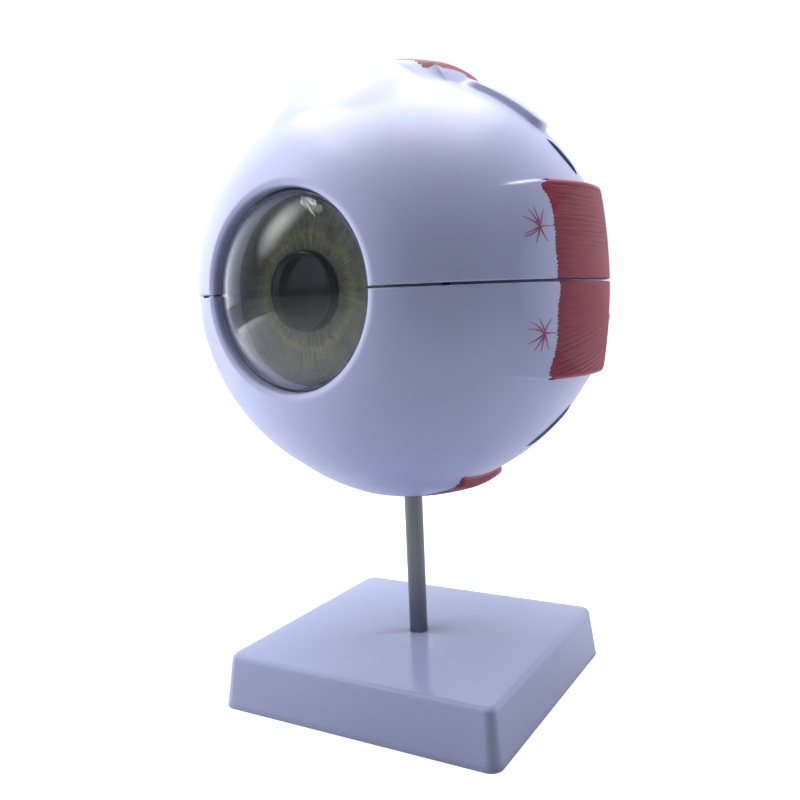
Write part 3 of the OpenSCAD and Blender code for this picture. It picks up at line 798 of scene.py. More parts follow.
def strap_point(turn, across, shape):
    """How far a strap's face lies from the middle, from the turn and the place across it."""
    far = np.full_like(turn, globe_r + 1.0)
    least = 0.9 if shape["melts"] else 0
    for _ in range(5):
        level = np.sqrt(np.maximum(far ** 2 - across ** 2, 1))
        x, y = level * np.sin(np.radians(turn)), -level * np.cos(np.radians(turn))
        face, share = strap_face(x, y, across, shape)
        share = np.where(across * shape["melts"] > 0, share, 1)
        far = globe_r + np.maximum(np.maximum(face - globe_r, 0) * share, least)
    return far


def lanes(low, high, step):
    """Places across a muscle, closer together where its edges are rounded."""
    return np.concatenate([low + edge_lanes, np.arange(low + 1.1, high - 1.0, step),
                           (high - edge_lanes)[::-1]])


def wrapped(far, turn, across):
    """Points at a distance from the middle of the ball, at a turn from the front and at a place
    across the strap that runs round there."""
    level = np.sqrt(far ** 2 - across ** 2)
    return np.stack([level * np.sin(np.radians(turn)), -level * np.cos(np.radians(turn)), across],
                    -1)


def slab(face, floor):
    """A grid of points and one below it, joined all round their edges."""
    rows, columns = face.shape[:2]
    number = np.arange(rows * columns).reshape(rows, columns)
    under = number + rows * columns
    faces = []
    for i in range(rows - 1):
        for j in range(columns - 1):
            faces.append((number[i, j], number[i, j + 1], number[i + 1, j + 1], number[i + 1, j]))
            faces.append((under[i, j], under[i + 1, j], under[i + 1, j + 1], under[i, j + 1]))
    ring = ([(0, j) for j in range(columns)] + [(i, columns - 1) for i in range(1, rows)]
            + [(rows - 1, j) for j in range(columns - 2, -1, -1)]
            + [(i, 0) for i in range(rows - 2, 0, -1)])
    for (a, b), (c, d) in zip(ring, ring[1:] + ring[:1]):
        faces.append((number[a, b], under[a, b], under[c, d], number[c, d]))
    return np.concatenate([face.reshape(-1, 3), floor.reshape(-1, 3)]), faces


def painted_muscle(name, node, body, far, turn, across, own_axes, marks, bore=None):
    """Closes a muscle's face down to its pocket and stores the values that its paint reads."""
    points, faces = slab(wrapped(far, turn, across), wrapped(belly_floor, turn, across))
    mesh = outward_mesh(name, points @ np.array(own_axes, float), faces, weld=False)
    for label, values in marks.items():
        store = mesh.attributes.new(label, "FLOAT", "POINT")
        store.data.foreach_set("value", np.tile(values.ravel(), 2).astype(np.float32))
    if bore:
        mesh = drilled(mesh, [bore])
    settle(name, mesh, body, [node], globe_place, muscle_paint, sharp=55)


def red_belly(name, node, body, muscle, own_axes, front, relief, seed, low=None, high=None,
              seam=None, bore=None):
    """A red straight muscle, whole or one half of it down to the seam. Its paint ends in front in
    small teeth."""
    shape, outline, pocket, _ = muscle
    low = outline["low"] if low is None else low
    high = outline["high"] if high is None else high
    across = lanes(low, high, 0.21)
    lane = across / 1.15 + 0.5 * wander(across / 2.3, seed=seed)
    tooth = np.abs(2 * (lane - np.floor(lane)) - 1) * (0.3 + 1.0 * per_line(np.floor(lane), seed))
    jag = tooth + 0.35 * wander(across / 5, seed=seed + 7)
    jag = jag + 0.12 * wander(across / 0.3, seed=seed + 9)
    start = front(across) + np.degrees((jag - 0.5) / globe_r)
    corner = outline["corner"]
    edge_away = np.minimum(outline["high"] - across, across - outline["low"])
    finish = outline["end"] - np.degrees(rounding(corner - edge_away, corner) / globe_r)
    share = np.concatenate([[0, 0.004, 0.012], np.linspace(0.03, 0.965, 56),
                            [0.975, 0.983, 0.989, 0.9935, 0.997, 0.999, 1]])
    turn = start[None, :] + (finish - start)[None, :] * share[:, None]
    wide = np.broadcast_to(across, turn.shape)
    along = np.radians(turn) * globe_r
    lift, valley = relief(along - math.radians(76) * globe_r, wide)
    inside = belly_inside(turn, wide, outline)
    drop = rounding(belly_edge - inside, belly_edge)
    if seam is not None:
        drop = drop + rounding(seam_edge - np.abs(wide - seam), seam_edge)
    quiet = step_up(inside, 0.3, 1.4) * step_up(turn, pocket + 0.1, pocket + 0.9)
    far = strap_point(turn, wide, shape) + paint_skin + lift * quiet - drop
    painted_muscle(name, node, body, far, turn, wide, own_axes, {
        "fibre_along": along, "fibre_across": wide, "edge_in": inside,
        "valley": valley * quiet}, bore)


def brushed_red(name):
    """Deep red satin paint brushed along the fibres, with painted shade that darkens the fibre valleys;
    thin and pinker where it has worn off the edges, with long faint streaks."""
    made = bpy.data.materials.new(name)
    tree = tree_of(made)
    along = add(tree, "ShaderNodeAttribute", attribute_name="fibre_along").outputs["Fac"]
    across = add(tree, "ShaderNodeAttribute", attribute_name="fibre_across").outputs["Fac"]
    edge = add(tree, "ShaderNodeAttribute", attribute_name="edge_in").outputs["Fac"]
    valley = add(tree, "ShaderNodeAttribute", attribute_name="valley").outputs["Fac"]
    spread = add(tree, "ShaderNodeCombineXYZ", {0: along, 1: across})
    run = add(tree, "ShaderNodeMapping", {"Vector": spread.outputs[0], "Scale": (0.09, 1.3, 1)})
    streak = add(tree, "ShaderNodeTexNoise", {"Vector": run.outputs[0], "Scale": 1, "Detail": 6})
    blotch = add(tree, "ShaderNodeTexNoise", {"Vector": spread.outputs[0], "Scale": 0.16, "Detail": 3})
    tone = add(tree, "ShaderNodeValToRGB", {"Fac": streak.outputs["Fac"]},
               stops=((0.3, "#762739"), (0.5, "#842b3e"), (0.72, "#92354a")))
    patch = add(tree, "ShaderNodeMapRange", {"Value": blotch.outputs["Fac"], "From Min": 0.4,
                                             "From Max": 0.7, "To Min": 0, "To Max": 0.45})
    mid = add(tree, "ShaderNodeMix", {0: patch.outputs[0], 6: tone.outputs["Color"],
                                      7: linear("#872b43")}, data_type="RGBA")
    worn_noise = add(tree, "ShaderNodeMath", {0: streak.outputs["Fac"], 1: 1.6, 2: -0.3},
                     operation="MULTIPLY_ADD")
    worn_edge = add(tree, "ShaderNodeMath", {0: edge, 1: worn_noise.outputs[0]},
                    operation="SUBTRACT")
    worn = add(tree, "ShaderNodeMapRange", {"Value": worn_edge.outputs[0], "From Min": 0.9,
                                            "From Max": 0.1, "To Min": 0, "To Max": 0.5})
    rim = add(tree, "ShaderNodeMix", {0: worn.outputs[0], 6: mid.outputs[2],
                                      7: linear("#c8687f")}, data_type="RGBA")
    # Painted shade: the valley mask darkens the red towards #6b2438 in the fibre grooves, where shade
    # falls.
    deep = add(tree, "ShaderNodeMapRange", {"Value": valley, "To Min": 0, "To Max": 0.7})
    colour = add(tree, "ShaderNodeMix", {0: deep.outputs[0], 6: rim.outputs[2],
                                         7: linear("#6b2438")}, data_type="RGBA")
    rough = add(tree, "ShaderNodeMapRange", {"Value": streak.outputs["Fac"], "To Min": 0.36,
                                             "To Max": 0.52})
    bump = add(tree, "ShaderNodeBump", {"Height": streak.outputs["Fac"], "Strength": 0.5,
                                        "Distance": 0.06 * MM})
    skin = add(tree, "ShaderNodeBsdfPrincipled", {
        "Base Color": colour.outputs[2], "Roughness": rough.outputs[0], "IOR": 1.36,
        "Normal": bump.outputs[0]})
    add(tree, "ShaderNodeOutputMaterial", {"Surface": skin.outputs[0]})
    return made


muscle_paint = brushed_red("brushed_red_paint")


def side_front(across):
    """The turn at which the red of a side muscle starts, as the next two give it for theirs."""
    corner = 2.4 * step_up(np.abs(across), 29.6, 31.2)
    return corner + np.where(across > 0, 74 - 1.1 * np.exp(-((across - 28.5) / 2.2) ** 2),
                             74 + 1.3 * np.exp(-(across / 7) ** 2))


def side_relief(along, across):
    """Fibres that lie level above the seam and climb below it, with a smooth strip between."""
    up = step_up(across, 8, 13) * (1 - step_up(across, 29.8, 31.0))
    down = step_up(-across, 13, 17)
    high, dark_high = fibre_relief(along, across, 1.6, 0.0, up, 3)
    low, dark_low = fibre_relief(along, across, 1.8, -0.22, down, 8)
    return high + low, dark_high + dark_low


for name, own_axes, seed in (("lateral", temple_side, 5), ("medial", nose_side, 21)):
    red_belly(f"{name}_belly_upper", f"{name}_rectus_upper", "upper_half", side_muscle, own_axes,
              side_front, side_relief, seed, low=half_gap, seam=half_gap)
    red_belly(f"{name}_belly_lower", f"{name}_rectus_lower", "lower_half", side_muscle, own_axes,
              side_front, side_relief, seed + 1, high=-half_gap, seam=-half_gap)


def even_relief(along, across):
    return fibre_relief(along, across, 1.7, 0.0, 1.0, 31)


def top_front(across):
    return 83 - 6.5 * step_up(np.abs(across), 8, 15) + 6 * step_up(-across, 24, 27.5)


def bottom_front(across):
    return np.full_like(across, 78)


red_belly("superior_belly", "superior_rectus", "upper_half", top_muscle, over_top, top_front,
          even_relief, 11)
rod_window = cylinder(rod_r + 1, -100, -60)
red_belly("inferior_belly", "inferior_rectus", "lower_half", bottom_muscle, under_side,
          bottom_front, even_relief, 15, bore=rod_window)


def red_band(name, node, body, own_axes, low, start, end, seed, proud):
    """A red oblique: a band of one width that wraps the ball and is cut square at both ends."""
    high = low + oblique_w
    tips = edge_lanes * 0.8
    count = int((end - start) * arc_mm / 0.9)
    turn = np.concatenate([start + tips, np.linspace(start + 0.9, end - 0.9, count),
                           (end - tips)[::-1]])
    turn, wide = np.meshgrid(turn, lanes(low, high, 0.22), indexing="ij")
    side = np.minimum(wide - low, high - wide)
    tail = np.minimum(turn - start, end - turn) * arc_mm
    short = np.hypot(np.maximum(belly_edge - side, 0), np.maximum(belly_edge - tail, 0))
    inside = np.minimum(side, tail)
    along = np.radians(turn) * globe_r
    lift, valley = fibre_relief(along, wide, 1.5, 0.0, np.ones_like(wide), seed)
    crown = 0.5 * ((wide - low - oblique_w / 2) / (oblique_w / 2)) ** 2
    far = globe_r + proud + lift * step_up(inside, 0.3, 1.4) - crown - rounding(short, belly_edge)
    painted_muscle(name, node, body, far, turn, wide, own_axes, {
        "fibre_along": along, "fibre_across": wide, "edge_in": inside, "valley": valley})


# The obliques and the veins run round their own Y, and turn from their own Z
round_y = np.array(((1, 0, 0), (0, 0, -1), (0, 1, 0)))
oblique_axes = Matrix.Rotation(oblique_pan, 3, "Z") @ Matrix.Rotation(oblique_tilt, 3, "X")
red_band("superior_oblique_belly", "superior_oblique", "upper_half",
         round_y @ np.array(oblique_axes).T, oblique_low, -61.85, -40.15, 41, oblique_proud)
red_band("inferior_oblique_belly", "inferior_oblique", "lower_half", round_y * (1, 1, -1), 31,
         20.15, 79.85, 45, 1.4)

# ---- Vessel stars ----
# Where the vessels of the side muscles come out on the tendons, the maker paints a small star of
# tapering strokes in the same red, thinned to a purplish pink.
star_places = ((69.2, 16.3, 1), (69.8, -16.1, -1))
star_strokes = ((2, 5.6), (67, 5.8), (96, 6.0), (117, 6.2), (146, 6.5), (203, 6.5), (220, 6.9),
                (250, 5.6), (293, 5.3))
stroke_r, stroke_tip = 0.42, 0.13
tendon_r = 75.7


def star_paths(turn, height, sign, seed):
    """The strokes of one star as chains of points on the tendon, each with its thickness."""
    random = np.random.default_rng(seed)
    places, widths, links = [], [], []
    for angle, length in star_strokes:
        bend = random.uniform(-0.15, 0.15) - 0.25 * math.sin(math.radians(angle) * 2)
        first = len(places)
        for share in np.linspace(0, 1, 10):
            way = math.radians(angle) + bend * (share - 0.35) * (angle > 10)
            out = 0.2 + (length - 0.2) * share
            along, up = out * math.cos(way), sign * out * math.sin(way)
            thick = stroke_tip + (stroke_r - stroke_tip) * (1 - share) ** 1.1
            at, lift = np.array([turn + math.degrees(along / tendon_r)]), np.array([height + up])
            far = strap_point(at, lift, side_strap) - 0.45 * thick
            places.append(wrapped(far, at, lift)[0])
            widths.append(thick)
        links += [(i, i + 1) for i in range(first, len(places) - 1)]
    return places, widths, links


def stroke_tree(finish):
    """Geometry Nodes tree that turns chains of points into tapering round strokes."""
    tree = bpy.data.node_groups.new("tapering_strokes", "GeometryNodeTree")
    tree.interface.new_socket("Geometry", in_out="INPUT", socket_type="NodeSocketGeometry")
    sides = tree.interface.new_socket("Sides", in_out="INPUT", socket_type="NodeSocketInt")
    tree.interface.new_socket("Geometry", in_out="OUTPUT", socket_type="NodeSocketGeometry")
    given = add(tree, "NodeGroupInput")
    chain = add(tree, "GeometryNodeMeshToCurve", {"Mesh": given.outputs["Geometry"]})
    ring = add(tree, "GeometryNodeCurvePrimitiveCircle", {"Resolution": given.outputs["Sides"],
                                                          "Radius": 1.0})
    thick = add(tree, "GeometryNodeInputNamedAttribute", {"Name": "thick"}, data_type="FLOAT")
    tube = add(tree, "GeometryNodeCurveToMesh", {
        "Curve": chain.outputs["Curve"], "Profile Curve": ring.outputs["Curve"],
        "Scale": thick.outputs["Attribute"], "Fill Caps": True})
    real = add(tree, "GeometryNodeRealizeInstances", {"Geometry": tube.outputs["Mesh"]})
    dressed = add(tree, "GeometryNodeSetMaterial", {"Geometry": real.outputs["Geometry"],
                                                    "Material": finish})
    add(tree, "NodeGroupOutput", {"Geometry": dressed.outputs["Geometry"]})
    return tree, sides.identifier


def strokes(name, places, widths, links, tree, sides_id, sides=8):
    """The mesh that a stroke tree makes of chains of points."""
    chain = bpy.data.meshes.new(name)
    chain.from_pydata([tuple(map(float, p)) for p in places], links, [])
    store = chain.attributes.new("thick", "FLOAT", "POINT")
    store.data.foreach_set("value", np.array(widths, np.float32))
    holder = in_scene(name, chain)
    change = holder.modifiers.new("strokes", "NODES")
    change.node_group = tree
    change[sides_id] = sides
    view = bpy.context.evaluated_depsgraph_get()
    made = bpy.data.meshes.new_from_object(holder.evaluated_get(view))
    bpy.data.objects.remove(holder)
    return made


star_paint, tree, place = new_finish("thin_maroon_paint")
patchy = add(tree, "ShaderNodeTexNoise", {"Vector": place, "Scale": 1 / (1.2 * MM), "Detail": 4})
tone = add(tree, "ShaderNodeValToRGB", {"Fac": patchy.outputs["Fac"]},
           stops=((0.3, "#8f4a74"), (0.5, "#ac5a84"), (0.72, "#b877a0")))
bump = add(tree, "ShaderNodeBump", {"Height": patchy.outputs["Fac"], "Strength": 0.4,
                                    "Distance": 0.05 * MM})
skin = add(tree, "ShaderNodeBsdfPrincipled", {"Base Color": tone.outputs["Color"],
                                              "Roughness": 0.45, "Normal": bump.outputs[0]})
add(tree, "ShaderNodeOutputMaterial", {"Surface": skin.outputs[0]})
star_tree, sides_id = stroke_tree(star_paint)
for name, flip in (("lateral", 1), ("medial", -1)):
    for half, (turn, height, sign) in zip(("upper", "lower"), star_places):
        places, widths, links = star_paths(turn, height, sign, 7 if sign > 0 else 12)
        places = [(x * flip, y, z) for x, y, z in places]
        mesh = strokes(f"{name}_star_{half}", places, widths, links, star_tree, sides_id)
        settle(f"{name}_star_{half}", mesh, f"{half}_half", place=globe_place,
               finish=star_paint, sharp=60)

# ---- Cornea ----
# One thin clear acrylic dome with a short straight skirt that plugs into the window. Its edges are
# flame polished, so it is clear right to the rim.
cornea_r, cornea_wall, cornea_rise = 32.3, 2, 13


def clear_acrylic(name, code, dull):
    """Clear moulded acrylic with the faintest cast. Light passes it without a dark shadow."""
    made, tree, place = new_finish(name)
    wave = add(tree, "ShaderNodeTexNoise", {"Vector": place, "Scale": 1 / (9 * MM), "Detail": 2})
    cast = add(tree, "ShaderNodeMix", {0: wave.outputs["Fac"], 6: linear(code),
                                       7: (1, 1, 1, 1)}, data_type="RGBA")
    ripple = add(tree, "ShaderNodeBump", {"Height": wave.outputs["Fac"], "Strength": 0.25,
                                          "Distance": 0.05 * MM})
    clear = add(tree, "ShaderNodeBsdfPrincipled", {
        "Base Color": cast.outputs[2], "Roughness": dull, "IOR": 1.49, "Transmission Weight": 1,
        "Normal": ripple.outputs[0]})
    passing = add(tree, "ShaderNodeBsdfTransparent", {"Color": (1, 1, 1, 1)})
    rays = add(tree, "ShaderNodeLightPath")
    mixed = add(tree, "ShaderNodeMixShader", {0: rays.outputs["Is Shadow Ray"],
                                              1: clear.outputs[0], 2: passing.outputs[0]})
    add(tree, "ShaderNodeOutputMaterial", {"Surface": mixed.outputs[0]})
    return made


dome_r = (cornea_r ** 2 + cornea_rise ** 2) / (2 * cornea_rise)
dome_y = lip_y + cornea_rise - dome_r
section = []
for r in np.concatenate([[0], np.linspace(0.6, cornea_r, 40)]):
    section.append((r, dome_y + math.sqrt(dome_r ** 2 - r * r)))
section += [(cornea_r, iris_y + 0.6), (cornea_r - 0.25, iris_y + 0.25),
            (cornea_r - 0.6, iris_y + 0.02),
            (cornea_r - cornea_wall + 0.5, iris_y + 0.02), (cornea_r - cornea_wall, iris_y + 0.5)]
inner_r = dome_r - cornea_wall
for r in np.concatenate([np.linspace(cornea_r - cornea_wall, 0.6, 38), [0]]):
    section.append((r, dome_y + math.sqrt(inner_r ** 2 - r * r)))
points, faces = revolve(section, 144)
cornea_clear = clear_acrylic("clear_acrylic_dome", "#f2f4fa", 0.02)
piece("cornea_dome", look_forward(points), faces, "cornea", ["cornea"], globe_place,
      cornea_clear, sharp=40)

# ---- Iris and ciliary body ----
# A disc with a moulded front: radial fibres, a raised ring about the pupil and shallow dips. It is
# painted grey olive with a dark outer ring. The ciliary body behind it is a plain ring in matt
# brown paint, so its CAD solid stays.
iris_hole = 13.1
iris_points = 400


def iris_relief(r, turn):
    """Height of the moulded iris: fibres, a raised ring about the pupil and three furrows."""
    spoke = wander(np.cos(turn) * 26, np.sin(turn) * 26, r / 9, seed=51)
    fine = wander(np.cos(turn) * 61, np.sin(turn) * 61, r / 7, seed=52)
    ring = np.exp(-((r - 17.6 - 0.8 * wander(np.cos(turn) * 4, np.sin(turn) * 4, seed=53)) / 1.1) ** 2)
    furrow = sum(np.exp(-((r - at) / 0.35) ** 2) for at in (22.5, 25.2, 27.8))
    fade = step_up(r, iris_hole, iris_hole + 2) * (1 - step_up(r, 30, 32.2))
    return (0.16 * spoke + 0.08 * fine) * fade + 0.3 * ring - 0.12 * furrow


radii = np.concatenate([[iris_hole, iris_hole + 0.15, iris_hole + 0.5],
                        np.linspace(iris_hole + 1, cornea_r - 0.3, 46), [cornea_r - 0.05, cornea_r]])
turns = np.linspace(0, 2 * math.pi, iris_points, endpoint=False)


def iris_ring(r, front):
    """A ring of the disc at one distance from its middle, at one height or a height for each."""
    return np.stack([r * np.cos(turns), r * np.sin(turns), np.full(iris_points, front)], 1)


rows = [iris_ring(iris_hole, seat_y)]
for r in radii:
    top_z = iris_y + iris_relief(r, turns) - 0.35
    if r < iris_hole + 0.4:
        top_z = top_z - (0.35 if r == iris_hole else 0.1)
    if r > cornea_r - 0.04:
        top_z = iris_y - 0.75
    rows.append(iris_ring(r, top_z))
rows += [iris_ring(cornea_r, seat_y), rows[0]]
points, faces = loft(rows)


def painted_iris(name):
    """Iris print under clear lacquer: soft radial fibres in grey and olive, a dark ring at the rim and a
    yellowish frill about the pupil, with painted shade that darkens it towards the temple side."""
    made, tree, place = new_finish(name)
    own = add(tree, "ShaderNodeMapping", {"Vector": place, "Location": (0, 0, globe_z * MM),
                                          "Rotation": (0, 0, math.radians(globe_turn))},
              vector_type="TEXTURE")
    part = add(tree, "ShaderNodeSeparateXYZ", {0: own.outputs[0]})
    flat = add(tree, "ShaderNodeCombineXYZ", {0: part.outputs["X"], 1: part.outputs["Z"]})
    size = add(tree, "ShaderNodeVectorMath", {0: flat.outputs[0]}, operation="LENGTH")
    way = add(tree, "ShaderNodeVectorMath", {0: flat.outputs[0]}, operation="NORMALIZE")
    radius = add(tree, "ShaderNodeMath", {0: size.outputs["Value"], 1: 1 / MM},
                 operation="MULTIPLY").outputs[0]
    way_part = add(tree, "ShaderNodeSeparateXYZ", {0: way.outputs[0]})

    def fibres(density, length, detail):
        slow = add(tree, "ShaderNodeMath", {0: radius, 1: 1 / length}, operation="MULTIPLY")
        lined = add(tree, "ShaderNodeCombineXYZ", {0: way_part.outputs["X"],
                                                   1: way_part.outputs["Y"]})
        wide = add(tree, "ShaderNodeVectorMath", {0: lined.outputs[0], "Scale": density},
                   operation="SCALE")
        deep = add(tree, "ShaderNodeCombineXYZ", {2: slow.outputs[0]})
        both = add(tree, "ShaderNodeVectorMath", {0: wide.outputs[0], 1: deep.outputs[0]},
                   operation="ADD")
        return add(tree, "ShaderNodeTexNoise", {"Vector": both.outputs[0], "Scale": 1,
                                                "Detail": detail}).outputs["Fac"]

    coarse = fibres(9, 6, 4)
    fine = fibres(34, 9, 3)
    fur = add(tree, "ShaderNodeMix", {0: 0.3, 2: coarse, 3: fine}, data_type="FLOAT")
    cloud = add(tree, "ShaderNodeTexNoise", {"Vector": own.outputs[0], "Scale": 1 / (7 * MM),
                                             "Detail": 4})
    both = add(tree, "ShaderNodeMath", {0: fur.outputs[0], 1: cloud.outputs["Fac"]},
               operation="ADD")
    shifted = add(tree, "ShaderNodeMath", {0: both.outputs[0], 1: 6.0, 2: -6.0},
                  operation="MULTIPLY_ADD")
    edge = add(tree, "ShaderNodeMath", {0: radius, 1: shifted.outputs[0]}, operation="ADD")
    zone = add(tree, "ShaderNodeMapRange", {"Value": edge.outputs[0], "From Min": 12,
                                            "From Max": 33})
    base = add(tree, "ShaderNodeValToRGB", {"Fac": zone.outputs[0]},
               stops=((0.02, "#3b3d38"), (0.1, "#585b4c"), (0.22, "#66684f"), (0.32, "#85815a"),
                      (0.4, "#6f705a"), (0.55, "#77796b"), (0.72, "#6f736c"), (0.84, "#4d545c"),
                      (0.95, "#3f4650")))
    # Painted shade: dark grey-blue patches, partly random mottling and partly a ramp that makes them grow
    # towards the temple side (+X).
    temple_shade_ramp = add(tree, "ShaderNodeMath", {0: part.outputs["X"], 1: 9, 2: 0.08},
               operation="MULTIPLY_ADD")
    mottle_and_temple_shade = add(tree, "ShaderNodeMath", {0: cloud.outputs["Fac"], 1: temple_shade_ramp.outputs[0]},
                operation="ADD")
    patch = add(tree, "ShaderNodeMapRange", {"Value": mottle_and_temple_shade.outputs[0], "From Min": 0.55,
                                             "From Max": 0.9, "To Min": 0, "To Max": 0.6})
    shaded = add(tree, "ShaderNodeMix", {0: patch.outputs[0], 6: base.outputs["Color"],
                                         7: linear("#353e45")}, data_type="RGBA")
    light = add(tree, "ShaderNodeValToRGB", {"Fac": fur.outputs[0]},
                stops=((0.28, "#a3a49f"), (0.5, "#dcdcd4"), (0.74, "#ffffff")))
    colour = add(tree, "ShaderNodeMix", {0: 0.75, 6: shaded.outputs[2],
                                         7: light.outputs["Color"]},
                 data_type="RGBA", blend_type="MULTIPLY")
    bump = add(tree, "ShaderNodeBump", {"Height": fur.outputs[0], "Strength": 0.6,
                                        "Distance": 0.25 * MM})
    skin = add(tree, "ShaderNodeBsdfPrincipled", {
        "Base Color": colour.outputs[2], "Roughness": 0.42, "Normal": bump.outputs[0],
        "Coat Weight": 0.5, "Coat Roughness": 0.12})
    add(tree, "ShaderNodeOutputMaterial", {"Surface": skin.outputs[0]})
    return made


iris_print = painted_iris("lacquered_iris_print")
piece("iris_disc", look_forward(points), faces, "iris_ring", ["iris"], globe_place,
      iris_print, sharp=60)


def mottled_paint(name, dark, mid, light, size_mm, dull=0.45, relief=0.15, vessels=None,
                  vessel_mm=20):
    """Brushed satin paint with soft mottling, for the parts inside the eyeball, and with thin
    wandering vessels drawn on it where it is given their colour."""
    made, tree, place = new_finish(name)
    blot = add(tree, "ShaderNodeTexNoise", {"Vector": place, "Scale": 1 / (size_mm * MM),
                                            "Detail": 6, "Distortion": 0.4})
    tone = add(tree, "ShaderNodeValToRGB", {"Fac": blot.outputs["Fac"]},
               stops=((0.32, dark), (0.5, mid), (0.7, light)))
    colour = tone.outputs["Color"]
    if vessels:
        path = add(tree, "ShaderNodeTexNoise", {"Vector": place, "Scale": 1 / (vessel_mm * MM),
                                                "Detail": 1.5, "Distortion": 0.6})
        middle = add(tree, "ShaderNodeMath", {0: path.outputs["Fac"], 1: 0.5}, operation="SUBTRACT")
        off = add(tree, "ShaderNodeMath", {0: middle.outputs[0]}, operation="ABSOLUTE")
        drawn = add(tree, "ShaderNodeMapRange", {"Value": off.outputs[0], "From Min": 0.004,
                                                 "From Max": 0.011, "To Min": 0.85, "To Max": 0})
        colour = add(tree, "ShaderNodeMix", {0: drawn.outputs[0], 6: colour, 7: linear(vessels)},
                     data_type="RGBA").outputs[2]
    grain = add(tree, "ShaderNodeTexNoise", {"Vector": place, "Scale": 1 / (0.8 * MM), "Detail": 3})
    rough = add(tree, "ShaderNodeMapRange", {"Value": blot.outputs["Fac"], "To Min": dull - 0.08,
                                             "To Max": dull + 0.1})
    bump = add(tree, "ShaderNodeBump", {"Height": grain.outputs["Fac"], "Strength": 0.4,
                                        "Distance": relief * MM})
    skin = add(tree, "ShaderNodeBsdfPrincipled", {
        "Base Color": colour, "Roughness": rough.outputs[0], "Normal": bump.outputs[0]})
    add(tree, "ShaderNodeOutputMaterial", {"Surface": skin.outputs[0]})
    return made


ciliary_paint = mottled_paint("brown_ciliary_paint", "#3f2622", "#5a3a32", "#7a5344", 4)
dress("ciliary_body", ciliary_paint)

# ---- Lens ----
# A clear acrylic lens, flatter in front, with a short clear boss that fills the hole in the iris
# and shows as the dark pupil.
lens_r, lens_front_y, lens_rim = 24.1, seat_y - 6, 3
pupil_r, pupil_y, boss_round = 12.8, iris_y + 3.8, 0.7
front_curve, rear_curve = 50, 30
front_top = lens_front_y + front_curve - math.sqrt(front_curve ** 2 - lens_r ** 2)
rear_low = lens_front_y - lens_rim - (rear_curve - math.sqrt(rear_curve ** 2 - lens_r ** 2))
section = [(0, rear_low)]
for r in np.linspace(1, lens_r - 0.3, 24):
    section.append((r, rear_low + rear_curve - math.sqrt(rear_curve ** 2 - r * r)))
section += [(lens_r, lens_front_y - lens_rim + 0.3), (lens_r, lens_front_y - 0.4)]
for r in np.linspace(lens_r - 0.3, pupil_r + 0.5, 12):
    section.append((r, front_top - front_curve + math.sqrt(front_curve ** 2 - r * r)))
section += [(pupil_r, section[-1][1] + 0.6), (pupil_r, pupil_y - boss_round)]
for turn in np.linspace(0, 90, 8)[1:]:
    section.append((pupil_r - boss_round * (1 - math.cos(math.radians(turn))),
                    pupil_y - boss_round * (1 - math.sin(math.radians(turn)))))
section += [(8, pupil_y), (4, pupil_y), (0, pupil_y)]
points, faces = revolve(section, 144)
lens_clear = clear_acrylic("clear_acrylic_lens", "#e9edf4", 0.03)
piece("clear_lens", look_forward(points), faces, "lens", ["lens"], globe_place,
      lens_clear, sharp=40)

# ---- Choroid, retina and vitreous body ----
# Two thin painted linings, nested in each other and cut at the same seam, round a clear hollow
# body. All are plain vacuum-formed shells, so the CAD solids stay and get their paint here.
choroid_paint = mottled_paint("dark_choroid_paint", "#331716", "#5b2a26", "#7c3f35", 9,
                              vessels="#a33b34", vessel_mm=9)
retina_paint = mottled_paint("orange_retina_paint", "#b96a44", "#d08556", "#e0a273", 14,
                             vessels="#8e2620", vessel_mm=26)
vitreous_clear = clear_acrylic("clear_vitreous_shell", "#dfe7ee", 0.2)
for half in ("lower", "upper"):
    dress(f"choroid_{half}", choroid_paint)
    dress(f"retina_{half}", retina_paint)
for part in ("bowl", "front"):
    dress(f"vitreous_{part}", vitreous_clear)

# ---- Optic nerve ----
# A cream stub split at the seam and glued to the back. Its cut end shows the sheath as a raised
# collar, the bundled fibres inside it, and the vessels in their middle, one in each half.
nerve_r, nerve_turn, nerve_end = 12, 15, 99
collar_r, bundle_r, core_r = 10.4, 9.4, 2.1
nerve_place = globe_place @ Matrix.Rotation(math.radians(nerve_turn), 4, "Z")
nerve_rows = [(half_gap, 96), (core_r - 0.2, 96), (core_r, 96.2), (core_r + 0.1, nerve_end - 1.1)]
nerve_rows += [(r, nerve_end - 0.8) for r in np.linspace(core_r + 0.4, bundle_r - 0.4, 18)]
nerve_rows += [(bundle_r, nerve_end - 1.2), (bundle_r + 0.1, 96), (collar_r - 0.1, 96),
               (collar_r, nerve_end - 0.3), (collar_r + 0.3, nerve_end), (nerve_r - 0.4, nerve_end),
               (nerve_r - 0.1, nerve_end - 0.12), (nerve_r, nerve_end - 0.4)]
nerve_rows += [(nerve_r, back) for back in np.linspace(nerve_end - 1.2, 79, 24)]
nerve_rows += [(nerve_r + 0.1, 77.6), (nerve_r + 0.35, 76), (nerve_r + 0.9, 74.7),
               (nerve_r + 1.6, 73.6), (nerve_r + 1.6, 73), (half_gap, 73)]


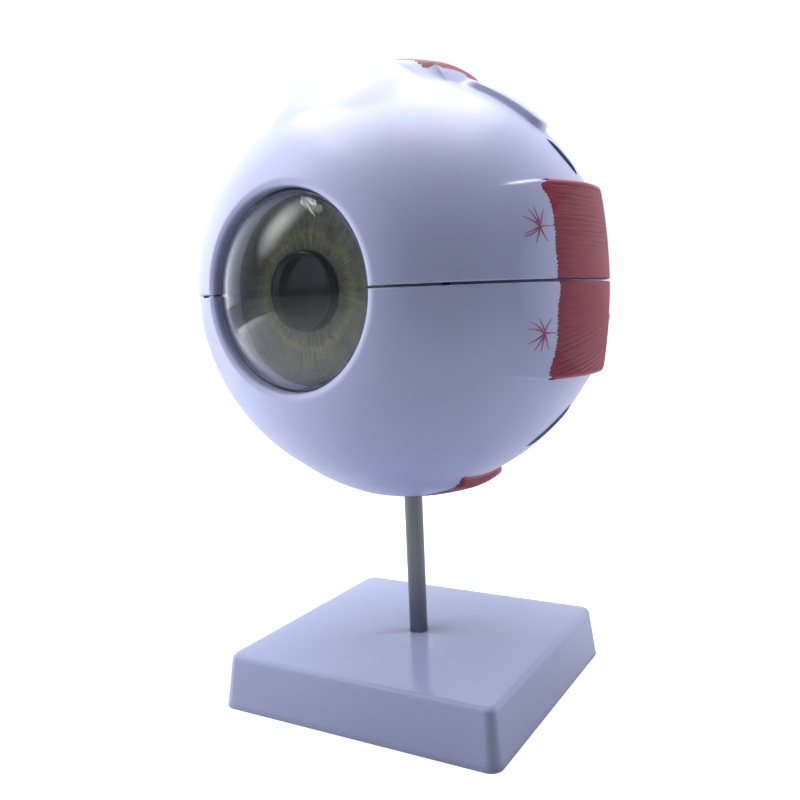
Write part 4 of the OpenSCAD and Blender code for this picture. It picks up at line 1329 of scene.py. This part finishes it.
def nerve_half(sign):
    """Half of the stub, with a knotty bundle in its end and slight folds along its sheath."""
    points, faces = half_ball([(reach, -back) for reach, back in nerve_rows], sign, 96)
    reach = np.hypot(points[:, 0], points[:, 2])
    away = step_up(np.abs(points[:, 2]), 0.5, 1.6)
    bundle = (points[:, 1] > nerve_end - 1) & (reach < bundle_r - 0.3) & (reach > core_r + 0.3)
    knots = wander(points[:, 0] * 2.1, points[:, 2] * 2.3, seed=61)
    points[:, 1] += np.where(bundle, 0.25 * knots * away, 0)
    turn = np.arctan2(points[:, 2], points[:, 0])
    sheath = (points[:, 1] < nerve_end - 1) & (points[:, 1] > 79) & (reach > nerve_r - 0.05)
    folds = wander(np.cos(turn) * 7, np.sin(turn) * 7, points[:, 1] / 9, seed=62)
    slim = 1 - np.where(sheath, 0.012 * (1 + folds), 0) * away
    points[:, 0] *= slim
    points[:, 2] = np.where(np.abs(points[:, 2]) > half_gap + 0.01, points[:, 2] * slim, points[:, 2])
    return outward_mesh("nerve_half", points, faces, fill=True)


nerve_paint = mottled_paint("cream_nerve_paint", "#c2a568", "#d6c182", "#e4d4a6", 4, relief=0.3)
artery_paint = mottled_paint("red_vessel_paint", "#7d1f2a", "#9b2d36", "#b04048", 2, dull=0.35)
vein_paint = mottled_paint("slate_vein_paint", "#2b3a55", "#3a4c6a", "#55688a", 6, dull=0.33)
for half, sign, finish in (("upper", 1, artery_paint), ("lower", -1, vein_paint)):
    settle(f"nerve_stub_{half}", nerve_half(sign), f"{half}_half",
           [f"optic_nerve_{half}"], nerve_place, nerve_paint, sharp=45)
    stub = [(0, 95.8), (0.6, 95.8), (0.6, 98.3), (0.52, 98.45), (0.3, 98.45), (0.28, 97.9),
            (0, 97.9)]
    points, faces = revolve(stub, 24)
    points = np.stack([points[:, 0], points[:, 2], points[:, 1] + sign * 1.2], 1)
    piece(f"nerve_vessel_{half}", points, faces, f"{half}_half", place=nerve_place,
          finish=finish)

# ---- Vortex veins ----
# Slate-blue slivers behind the side muscles, glued on the ball, pointed at both ends and highest
# along their middle.
vein_half_w, vein_high, vein_floor = 1.7, 1.15, 74.4
vein_shapes = {"upper": (96, 33.5, 28, 13), "lower": (97, -42, -34, 18)}


def vein_sliver(turn, tilt, roll, sweep):
    """One sliver: a slightly bowed drop that runs round the ball at one place."""
    steps = np.concatenate([[-1, -0.985], np.linspace(-0.95, 0.95, 45), [0.985, 1]])
    share, lane = np.meshgrid(steps, np.linspace(-1, 1, 11), indexing="ij")
    high = vein_high * (1 - share ** 4) ** 0.7 * (1 - lane ** 2) ** 0.6
    across = vein_half_w * (1 - share ** 2) ** 0.8 * lane + 0.5 * (share ** 2 - 0.4)
    run = share * sweep / 2
    points, faces = slab(wrapped(globe_r + high, run, across), wrapped(vein_floor, run, across))
    at = (Matrix.Rotation(math.radians(turn - 90), 3, "Z")
          @ Matrix.Rotation(math.radians(90 - tilt), 3, "Y")
          @ Matrix.Rotation(math.radians(roll), 3, "Z"))
    return points @ round_y @ np.array(at).T, faces


for half, shape in vein_shapes.items():
    points, faces = vein_sliver(*shape)
    both = np.vstack([points, points * (-1, 1, 1)])
    faces += [tuple(i + len(points) for i in face) for face in faces]
    piece(f"vein_slivers_{half}", both, faces, f"{half}_half",
          [f"vortex_veins_{half}"], globe_place, vein_paint, sharp=70)
